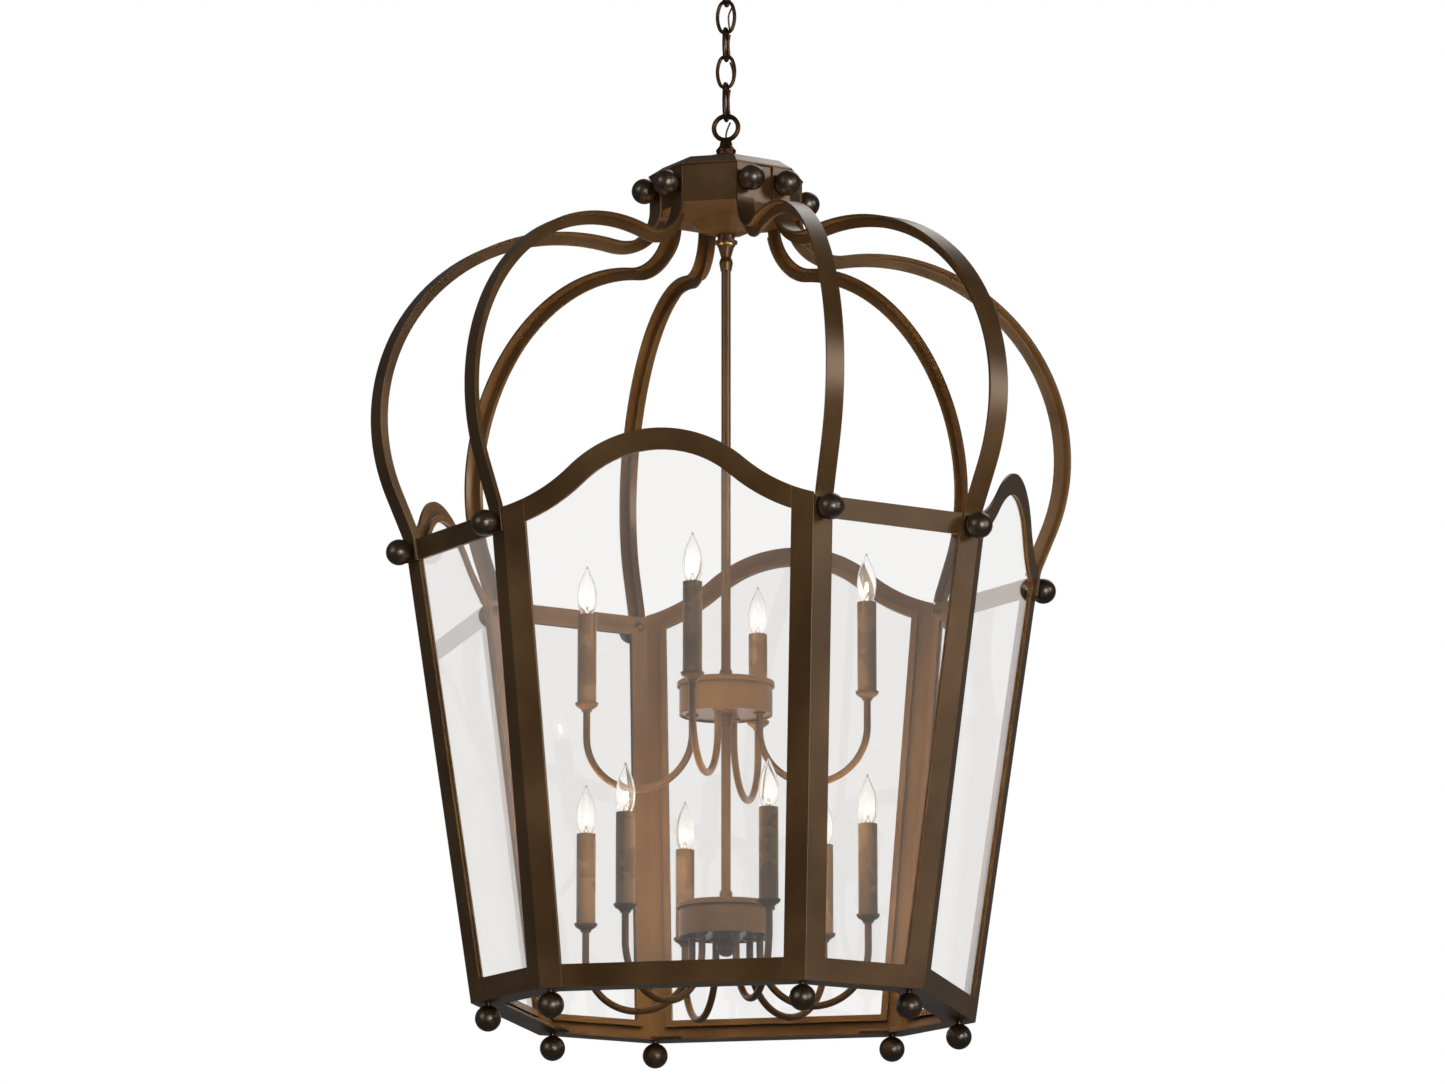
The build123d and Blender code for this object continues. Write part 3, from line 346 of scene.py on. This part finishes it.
def addPaintedGlow(tree, shader, tint):
    rise = outOf(tree, "ShaderNodeAttribute", output="Fac", attribute_name="rise")
    ramp = addNode(tree, "ShaderNodeValToRGB", {"Fac": rise})
    marks = ramp.color_ramp.elements
    for stop, shade in paintedBulbGlow["stops"]:
        mark = marks[0] if stop == 0.0 else marks.new(stop)
        mark.color = (*(share * shade for share in paintedBulbGlow["colour"]), 1.0)
    marks[-1].color = (0.0, 0.0, 0.0, 1.0)
    # the glass glows with painted light, though only the filament is hot
    feed(tree, shader, {
        "Base Color": blended(tree, mapped(tree, rise, paintedBulbGlow["tip"]), tint, paintedBulbGlow["tipGrey"]),
        "Emission Color": ramp.outputs["Color"],
        "Emission Strength": 1.0,
    })


def glassFinish(name, look):
    # lamps reach what stands behind the glass through the clear shader
    material, tree, shader, place = startFinish(name)
    film = noiseOf(tree, place, look["filmScale"], glassNoise["filmDetail"])
    waves = noiseOf(tree, place, look["waveScale"], glassNoise["waveDetail"])
    feed(tree, shader, {
        "Base Color": (*look["tint"], 1.0),
        "IOR": look["ior"],
        "Transmission Weight": 1.0,
        "Roughness": mapped(tree, film, glassNoise["filmRange"], look["gloss"]),
        "Normal": bumped(tree, waves, look["wave"], glassNoise["depth"]),
    })
    if name == "clearBulb":
        addPaintedGlow(tree, shader, look["tint"])
    shadow = outOf(tree, "ShaderNodeLightPath", output="Is Shadow Ray")
    clear = outOf(tree, "ShaderNodeBsdfTransparent", {"Color": (*look["tint"], 1.0)})
    surface = shaderMix(tree, shadow, shader.outputs[0], clear)
    feed(tree, tree.nodes["Material Output"], {"Surface": surface})
    return material


clothCord = {"dark": (0.030, 0.016, 0.009), "light": (0.085, 0.045, 0.024), "weaveScale": 260.0,
             "distortion": 1.5, "detail": 1.0, "roughness": 0.6, "bump": 0.5, "depth": 0.0003}


def cordFinish(name, look):
    material, tree, shader, place = startFinish(name)
    inputs = {"Vector": place, "Scale": look["weaveScale"], "Distortion": look["distortion"],
              "Detail": look["detail"]}
    weave = outOf(tree, "ShaderNodeTexWave", inputs, "Fac", bands_direction="DIAGONAL")
    feed(tree, shader, {
        "Base Color": blended(tree, weave, look["dark"], look["light"]),
        "Roughness": look["roughness"],
        "Normal": bumped(tree, weave, look["bump"], look["depth"]),
    })
    return material


hotFilament = {"cooler": (1.0, 0.62, 0.30), "hotter": (1.0, 0.86, 0.62), "scale": 900.0, "detail": 1.0,
               "range": (0.3, 0.7), "tungsten": (0.3, 0.28, 0.25, 1.0), "roughness": 0.5, "strength": 26.0}


def filamentFinish(name, look):
    # tungsten that glows, a little cooler where its coil is thin
    material, tree, shader, place = startFinish(name)
    heat = mapped(tree, noiseOf(tree, place, look["scale"], look["detail"]), look["range"])
    feed(tree, shader, {
        "Base Color": look["tungsten"],
        "Roughness": look["roughness"],
        "Emission Color": blended(tree, heat, look["cooler"], look["hotter"]),
        "Emission Strength": look["strength"],
    })
    return material


finishes = {name: bronzeFinish(name, look) for name, look in bronzeLooks.items()}
finishes.update({name: plainMetalFinish(name, look) for name, look in metalLooks.items()})
finishes.update({name: glassFinish(name, look) for name, look in glassLooks.items()})
finishes["hotFilament"] = filamentFinish("hotFilament", hotFilament)
finishes["clothCord"] = cordFinish("clothCord", clothCord)

slotFinish = {
    "bronze": "lanternBronze", "chain_bronze": "chainBronze", "sleeve_bronze": "candleBronze",
    "brass": "agedBrass", "zinc_steel": "zincSteel", "pane_glass": "clearPane", "bulb_glass": "clearBulb",
    "bulb_base": "lampCapNickel", "socket": "socketShell", "cord": "clothCord",
}
ballNodes = ("crown_balls", "girdle_balls", "foot_balls")
nodeFinish = {node: "ballBronze" for node in ballNodes}


def dressNodes():
    # a CAD node takes the finish of its slot in the record, unless it has its own
    for entry in frame["record"]["subparts"]:
        node = entry["node"]
        mesh = cadNodes[node].data
        mesh.materials.clear()
        mesh.materials.append(finishes[nodeFinish.get(node, slotFinish[entry["material_slot"]])])


dressNodes()
print("finishes on the CAD nodes")


def looseParts(nodeName):
    # the middle of each separate solid in a CAD node
    grid = bmesh.new()
    grid.from_mesh(cadNodes[nodeName].data)
    bmesh.ops.remove_doubles(grid, verts=grid.verts, dist=sameSpot)
    left = set(grid.verts)
    middles = []
    while left:
        found, reached = [], [left.pop()]
        while reached:
            vert = reached.pop()
            found.append(vert.co.copy())
            for edge in vert.link_edges:
                other = edge.other_vert(vert)
                if other in left:
                    left.remove(other)
                    reached.append(other)
        low = Vector(min(place[axis] for place in found) for axis in range(3))
        high = Vector(max(place[axis] for place in found) for axis in range(3))
        middles.append((low + high) / 2)
    grid.free()
    return middles


def between(a, b, c, d, t):
    # a smooth way from b to c, with a before them and d after
    squared, cubed = 2 * a - 5 * b + 4 * c - d, 3 * b - a - 3 * c + d
    return 0.5 * (2 * b + (c - a) * t + squared * t ** 2 + cubed * t ** 3)


def smoothRun(points, steps):
    # a curve through every point, rounded between them
    run = []
    ends = [points[0]] + list(points) + [points[-1]]
    for four in zip(ends, ends[1:], ends[2:], ends[3:]):
        for step in range(steps):
            run.append(tuple(between(*values, step / steps) for values in zip(*four)))
    run.append(tuple(points[-1]))
    return run


def turnedMesh(name, outline, sides, closed=False):
    # turns an outline of (radius, height) round the upright axis; a closed outline is a ring's section
    grid = bmesh.new()
    angles = [math.tau * side / sides for side in range(sides)]
    rings = []
    for radius, height in outline:
        places = [(radius * math.cos(angle), radius * math.sin(angle), height) for angle in angles]
        rings.append([grid.verts.new(place) for place in places])
    pairs = list(zip(rings, rings[1:])) + ([(rings[-1], rings[0])] if closed else [])
    for low, high in pairs:
        for side in range(sides):
            turn = (side + 1) % sides
            grid.faces.new((low[side], low[turn], high[turn], high[side]))
    # the points on the axis become one, and what has no face left goes
    onAxis = 1e-7
    bmesh.ops.remove_doubles(grid, verts=grid.verts, dist=onAxis)
    bmesh.ops.dissolve_degenerate(grid, edges=grid.edges, dist=onAxis)
    bmesh.ops.delete(grid, geom=[edge for edge in grid.edges if not edge.link_faces], context="EDGES")
    bmesh.ops.recalc_face_normals(grid, faces=grid.faces)
    for face in grid.faces:
        face.smooth = True
    mesh = bpy.data.meshes.new(name)
    grid.to_mesh(mesh)
    grid.free()
    return mesh


def pointMesh(name, places, directions):
    mesh = bpy.data.meshes.new(name)
    mesh.from_pydata([tuple(place) for place in places], [], [])
    facing = mesh.attributes.new("facing", "FLOAT_VECTOR", "POINT")
    for row, direction in zip(facing.data, directions):
        row.vector = direction
    return mesh


def lineMesh(name, points):
    mesh = bpy.data.meshes.new(name)
    mesh.from_pydata(points, [(first, first + 1) for first in range(len(points) - 1)], [])
    return mesh


def shapeObject(mesh):
    return link(bpy.data.objects.new(mesh.name, mesh))


def startTree(name, inputs):
    # a tree of geometry nodes with named inputs, each with its kind of socket
    tree = bpy.data.node_groups.new(name, "GeometryNodeTree")
    for side in ("INPUT", "OUTPUT"):
        tree.interface.new_socket("Geometry", in_out=side, socket_type="NodeSocketGeometry")
    for label, kind in {**inputs, "Finish": "Material"}.items():
        tree.interface.new_socket(label, in_out="INPUT", socket_type="NodeSocket" + kind)
    return tree, addNode(tree, "NodeGroupInput").outputs


def copiesOn(tree, points, shape, rotation, scale=(1.0, 1.0, 1.0)):
    inputs = {"Points": points, "Instance": shape, "Rotation": rotation, "Scale": scale}
    return outOf(tree, "GeometryNodeInstanceOnPoints", inputs)


def endTree(tree, given, instances):
    solid = outOf(tree, "GeometryNodeRealizeInstances", {"Geometry": instances})
    painted = outOf(tree, "GeometryNodeSetMaterial", {"Geometry": solid, "Material": given["Finish"]})
    addNode(tree, "NodeGroupOutput", {0: painted})
    return tree


def turnRound(tree, count):
    # the turn of each copy about the upright axis, in equal shares
    share = reckoned(tree, "DIVIDE", outOf(tree, "GeometryNodeInputIndex"), count)
    angle = reckoned(tree, "MULTIPLY", share, math.tau)
    return outOf(tree, "ShaderNodeCombineXYZ", {"Z": angle})


def makeRingTree():
    # copies of one shape round a level circle, each turned towards the outside
    tree, given = startTree("shapeRoundCircle", {"Shape": "Object", "Count": "Int", "Circle radius": "Float",
                                                 "Level": "Float"})
    circle = outOf(tree, "GeometryNodeMeshCircle", {"Vertices": given["Count"],
                                                    "Radius": given["Circle radius"]})
    lift = outOf(tree, "ShaderNodeCombineXYZ", {"Z": given["Level"]})
    raised = outOf(tree, "GeometryNodeTransform", {"Geometry": circle, "Translation": lift})
    shape = outOf(tree, "GeometryNodeObjectInfo", {"Object": given["Shape"]}, "Geometry")
    return endTree(tree, given, copiesOn(tree, raised, shape, turnRound(tree, given["Count"])))


def makeStudTree():
    # copies of one shape on points, each turned to its own direction, with a random turn about it
    tree, given = startTree("shapeOnPoints", {"Shape": "Object", "Seed": "Int"})
    facing = outOf(tree, "GeometryNodeInputNamedAttribute", {"Name": "facing"}, data_type="FLOAT_VECTOR")
    aligned = outOf(tree, "FunctionNodeAlignRotationToVector", {"Vector": facing}, axis="Z")
    spin = outOf(tree, "FunctionNodeRandomValue", {"Max": (0.0, 0.0, math.tau), "Seed": given["Seed"]},
                 data_type="FLOAT_VECTOR")
    turned = outOf(tree, "FunctionNodeRotateRotation", {0: aligned, 1: spin}, rotation_space="LOCAL")
    shape = outOf(tree, "GeometryNodeObjectInfo", {"Object": given["Shape"]}, "Geometry")
    return endTree(tree, given, copiesOn(tree, given["Geometry"], shape, turned))


def makeTubeTree():
    # a bent tube along a line whose corners are rounded, repeated round the upright axis
    tree, given = startTree("bentTubes", {"Count": "Int", "Bend radius": "Float", "Tube radius": "Float",
                                          "Bend steps": "Int", "Sides": "Int"})
    spine = outOf(tree, "GeometryNodeMeshToCurve", {"Mesh": given["Geometry"]})
    bends = {"Curve": spine, "Radius": given["Bend radius"], "Count": given["Bend steps"]}
    bent = outOf(tree, "GeometryNodeFilletCurve", bends, mode="POLY")
    rim = {"Resolution": given["Sides"], "Radius": given["Tube radius"]}
    section = outOf(tree, "GeometryNodeCurvePrimitiveCircle", rim, "Curve")
    swept = {"Curve": bent, "Profile Curve": section, "Fill Caps": True}
    tube = outOf(tree, "GeometryNodeCurveToMesh", swept)
    smooth = outOf(tree, "GeometryNodeSetShadeSmooth", {"Geometry": tube})
    circle = outOf(tree, "GeometryNodeMeshCircle", {"Vertices": given["Count"], "Radius": 0.0})
    return endTree(tree, given, copiesOn(tree, circle, smooth, turnRound(tree, given["Count"])))


def grown(name, tree, seedMesh, values, body="lantern"):
    # runs a tree on a mesh and keeps the result as a plain mesh
    source = link(bpy.data.objects.new(name + "Seed", seedMesh))
    modifier = source.modifiers.new("grow", "NODES")
    modifier.node_group = tree
    for item in tree.interface.items_tree:
        if item.name in values:
            modifier[item.identifier] = values[item.name]
    settled = source.evaluated_get(bpy.context.evaluated_depsgraph_get())
    mesh = bpy.data.meshes.new_from_object(settled)
    source.modifiers.remove(modifier)
    bpy.data.objects.remove(source)
    mesh.name = name
    piece = link(bpy.data.objects.new(name, mesh))
    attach(piece, body)
    return piece


ringTree = makeRingTree()
studTree = makeStudTree()
tubeTree = makeTubeTree()

candle = {
    "cupInset": 0.0155,                        # from the outermost cup's edge in to the candles' circle
    "cupHeight": 0.012, "cupSeat": 0.0045,     # the cup's height, and how far below its rim the arm ends
    "hubFloor": 0.0025, "armStub": 0.008, "armRoot": 0.046, "armRadius": 0.00475, "armDrop": 0.1193,
    "bendGap": 1e-5, "bendSteps": 28, "sides": 20,      # the gap keeps an arm's two bends apart
}
cupsLow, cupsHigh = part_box("candle_cups")
candleCircle = cupsHigh.x - candle["cupInset"]
candleTiers = [
    {"name": "upper", "count": 4, "rim": cupsHigh.z, "hub": "upper_hub"},
    {"name": "lower", "count": 6, "rim": cupsLow.z + candle["cupHeight"], "hub": "lower_hub"},
]


def tubesRound(tier, name, points, size, finish):
    # one bent tube for each candle of a tier
    values = {"Count": tier["count"], "Bend radius": size["bend"], "Tube radius": size["radius"],
              "Bend steps": size["bendSteps"], "Sides": size["sides"], "Finish": finishes[finish]}
    return grown(tier["name"] + name, tubeTree, lineMesh("spine", points), values)


def shapesRound(tier, name, shape, foot):
    # one clear glass shape for each candle of a tier
    values = {"Shape": shape, "Count": tier["count"], "Circle radius": candleCircle,
              "Level": tier["rim"] + foot, "Finish": finishes["clearBulb"]}
    return grown(tier["name"] + name, ringTree, bpy.data.meshes.new("seed"), values)


def makeArms():
    root = candle["armRoot"]
    size = {"bend": (candleCircle - root) / 2 - candle["bendGap"], "radius": candle["armRadius"],
            "bendSteps": candle["bendSteps"], "sides": candle["sides"]}
    for tier in candleTiers:
        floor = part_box(tier["hub"])[0].z + candle["hubFloor"]
        bottom = tier["rim"] - candle["armDrop"]
        points = [(root, 0, floor + candle["armStub"]), (root, 0, bottom),
                  (candleCircle, 0, bottom), (candleCircle, 0, tier["rim"] - candle["cupSeat"])]
        arms = tubesRound(tier, "Arms", points, size, "lanternBronze")
        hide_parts(tier["name"] + "_arms")


flameBulb = {
    "foot": 0.119, "height": 0.068, "radius": 0.0129, "wall": 0.0008, "tipWalls": 3, "sides": 40, "steps": 5,
    # the outline from the neck to the tip, in shares of the radius and of the height
    "outline": ((0.53, 0.0), (0.84, 0.13), (0.95, 0.22), (1.0, 0.40), (0.87, 0.59), (0.67, 0.71),
                (0.35, 0.845), (0.14, 0.94), (0.0, 1.0)),
}


def markRise(mesh, high):
    # how far up the bulb each point is, for the glass's painted glow and its grey tip
    rise = mesh.attributes.new("rise", "FLOAT", "POINT")
    for row, vert in zip(rise.data, mesh.vertices):
        row.value = vert.co.z / high


def makeBulbs():
    tall, wall = flameBulb["height"], flameBulb["wall"]
    outer = [(flameBulb["radius"] * wide, tall * rise) for wide, rise in flameBulb["outline"]]
    inner = [(max(wide - wall, 0.0), rise) for wide, rise in outer[:-1]]
    inner.append((0.0, tall - flameBulb["tipWalls"] * wall))
    run = smoothRun(outer, flameBulb["steps"]) + smoothRun(inner, flameBulb["steps"])[::-1]
    outline = [(max(radius, 0.0), height) for radius, height in run]
    mesh = turnedMesh("flameGlass", outline, flameBulb["sides"], closed=True)
    markRise(mesh, tall)
    shape = shapeObject(mesh)
    for tier in candleTiers:
        glass = shapesRound(tier, "Bulbs", shape, flameBulb["foot"])
    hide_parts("bulbs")
    bpy.data.objects.remove(shape)


filament = {
    "foot": 0.121, "leads": 0.015, "rise": 0.012, "spread": 0.0045, "stemRadius": 0.0026, "stemSides": 16,
    # the glass mount's outline, in shares of the stem's radius and of the leads' height
    "mount": ((0.0, 0.0), (1.4, 0.0), (1.0, 0.45), (0.8, 0.62), (0.0, 0.7)),
    # the hot wire's corners, in shares of the spread and of the rise
    "zigzag": ((-1.0, 0.0), (-0.5, 1.0), (0.0, 0.3), (0.5, 1.0), (1.0, 0.0)),
    # where a lead runs in the mount, in shares of the stem's radius and of the leads' height
    "inMount": ((0.5, 0.3), (0.6, 0.7)),
    "coil": {"bend": 0.0006, "radius": 0.0011, "bendSteps": 4, "sides": 8},
    "lead": {"bend": 0.001, "radius": 0.00035, "bendSteps": 3, "sides": 8},
}


def makeFilaments():
    stem, leads = filament["stemRadius"], filament["leads"]
    outline = [(stem * wide, leads * rise) for wide, rise in filament["mount"]]
    shape = shapeObject(turnedMesh("glassMount", outline, filament["stemSides"]))
    for tier in candleTiers:
        level = tier["rim"] + filament["foot"]
        mounts = shapesRound(tier, "GlassMounts", shape, filament["foot"])
        points = [(candleCircle, filament["spread"] * across, level + (leads + filament["rise"] * up))
                  for across, up in filament["zigzag"]]
        coils = tubesRound(tier, "Filaments", points, filament["coil"], "hotFilament")
        for side, name in ((-1, "LeftLeads"), (1, "RightLeads")):
            points = [(candleCircle, side * stem * across, level + leads * up)
                      for across, up in filament["inMount"]]
            points.append((candleCircle, side * filament["spread"], level + leads))
            lead = tubesRound(tier, name, points, filament["lead"], "lampCapNickel")
    bpy.data.objects.remove(shape)


bulbLamp = {"height": 0.143, "watts": 10.5, "colour": (1.0, 0.82, 0.60), "size": 0.005}


def lightBulbs():
    for tier in candleTiers:
        level = tier["rim"] + bulbLamp["height"]
        for index in range(tier["count"]):
            around = math.tau * index / tier["count"]
            data = bpy.data.lights.new(tier["name"] + "BulbLight" + str(index + 1), "POINT")
            data.energy = bulbLamp["watts"]
            data.color = bulbLamp["colour"]
            data.shadow_soft_size = bulbLamp["size"]
            lamp = link(bpy.data.objects.new(data.name, data))
            lamp.location = (candleCircle * math.cos(around), candleCircle * math.sin(around), level)
            lamp.visible_camera = False
            lamp.visible_glossy = False
            lamp.visible_transmission = False


makeArms()
makeBulbs()
makeFilaments()
lightBulbs()
print("arms, flame bulbs and filaments made")

capNut = {"washerRadius": 0.0085, "washerThick": 0.0012, "capRadius": 0.0056, "capHeight": 0.0078,
          "bevelPart": 3, "domeStep": 15, "sides": 28, "nutHeight": 0.005, "seed": 3}      # step in degrees


def makeCapNuts():
    # a washer and a domed nut on each ball's screw, where the frame has its nut
    balls = [middle for node in ballNodes for middle in looseParts(node)]
    places, directions = [], []
    for nut in looseParts("ball_nuts"):
        inward = (nut - min(balls, key=lambda middle: (middle - nut).length)).normalized()
        places.append(nut - inward * capNut["nutHeight"] / 2)
        directions.append(inward)
    wide, thick, cap = capNut["washerRadius"], capNut["washerThick"], capNut["capRadius"]
    domeFoot = capNut["capHeight"] - cap
    bevel = thick / capNut["bevelPart"]
    outline = [(0.0, 0.0), (wide - bevel, 0.0), (wide, bevel), (wide, thick - bevel), (wide - bevel, thick),
               (cap, thick)]
    for degrees in range(0, 90 + capNut["domeStep"], capNut["domeStep"]):
        angle = math.radians(degrees)
        outline.append((cap * math.cos(angle), domeFoot + cap * math.sin(angle)))
    shape = shapeObject(turnedMesh("capNut", outline, capNut["sides"]))
    nuts = grown("capNuts", studTree, pointMesh("nutPlaces", places, directions),
                 {"Shape": shape, "Seed": capNut["seed"], "Finish": finishes["lanternBronze"]})
    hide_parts("ball_nuts")
    bpy.data.objects.remove(shape)


# an edge whose signed angle is under the fold's, in radians, is an inner corner
tack = {"ribs": 8, "spacing": 0.085, "radius": 0.0021, "fold": -1.2, "seed": 7,
        "least": (0.7, 0.7, 0.9), "most": (1.1, 1.1, 2.1), "rounds": 2}


def makeTackTree():
    # lumps of weld along the folds where a rib's web meets its flange
    tree, given = startTree("weldTacks", {"Spacing": "Float", "Radius": "Float", "Fold": "Float",
                                          "Seed": "Int"})
    merged = outOf(tree, "GeometryNodeMergeByDistance", {"Geometry": given["Geometry"], "Distance": sameSpot})
    angle = outOf(tree, "GeometryNodeInputMeshEdgeAngle", output="Signed Angle")
    folded = outOf(tree, "FunctionNodeCompare", {0: angle, 1: given["Fold"]}, data_type="FLOAT",
                   operation="LESS_THAN")
    seam = outOf(tree, "GeometryNodeMeshToCurve", {"Mesh": merged, "Selection": folded})
    spaced = outOf(tree, "GeometryNodeResampleCurve", {"Curve": seam, "Length": given["Spacing"]},
                   mode="LENGTH")
    ball = {"Radius": given["Radius"], "Subdivisions": tack["rounds"]}
    lump = outOf(tree, "GeometryNodeMeshIcoSphere", ball, "Mesh")
    smooth = outOf(tree, "GeometryNodeSetShadeSmooth", {"Geometry": lump})
    sizes = {"Min": tack["least"], "Max": tack["most"], "Seed": given["Seed"]}
    size = outOf(tree, "FunctionNodeRandomValue", sizes, data_type="FLOAT_VECTOR")
    along = outOf(tree, "GeometryNodeInputTangent")
    aligned = outOf(tree, "FunctionNodeAlignRotationToVector", {"Vector": along}, axis="Z")
    return endTree(tree, given, copiesOn(tree, spaced, smooth, aligned, size))


def makeWeldTacks():
    tree = makeTackTree()
    for index in range(1, tack["ribs"] + 1):
        tacks = grown(f"rib{index}Tacks", tree, cadNodes[f"rib_{index}"].data.copy(),
                      {"Spacing": tack["spacing"], "Radius": tack["radius"], "Fold": tack["fold"],
                       "Seed": tack["seed"] + index, "Finish": finishes["lanternBronze"]})
        print("rib", index, "has", len(tacks.data.vertices), "points of weld")


knurl = {"count": 60, "radius": 0.0119, "ridge": 0.00045, "root": 0.0005, "height": 0.0072}


def makeKnurling():
    # upright ridges round the canopy's collar, each a prism with three sides and slanted ends
    low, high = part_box("canopy_collar")
    out, sunk, tall = knurl["ridge"], -knurl["root"], knurl["height"] / 2
    corners = [(sunk, -out, -tall), (out, 0.0, -tall + out), (sunk, out, -tall),
               (sunk, -out, tall), (out, 0.0, tall - out), (sunk, out, tall)]
    ridge = bpy.data.meshes.new("knurlRidge")
    ridge.from_pydata(corners, [], [(0, 1, 4, 3), (1, 2, 5, 4), (2, 0, 3, 5), (0, 2, 1), (3, 4, 5)])
    shape = shapeObject(ridge)
    values = {"Shape": shape, "Count": knurl["count"], "Circle radius": knurl["radius"],
              "Level": (low.z + high.z) / 2, "Finish": finishes["lanternBronze"]}
    ridges = grown("collarKnurling", ringTree, bpy.data.meshes.new("seed"), values, body="canopy")
    bpy.data.objects.remove(shape)


makeCapNuts()
makeWeldTacks()
makeKnurling()
print("fasteners, weld tacks and knurling made")
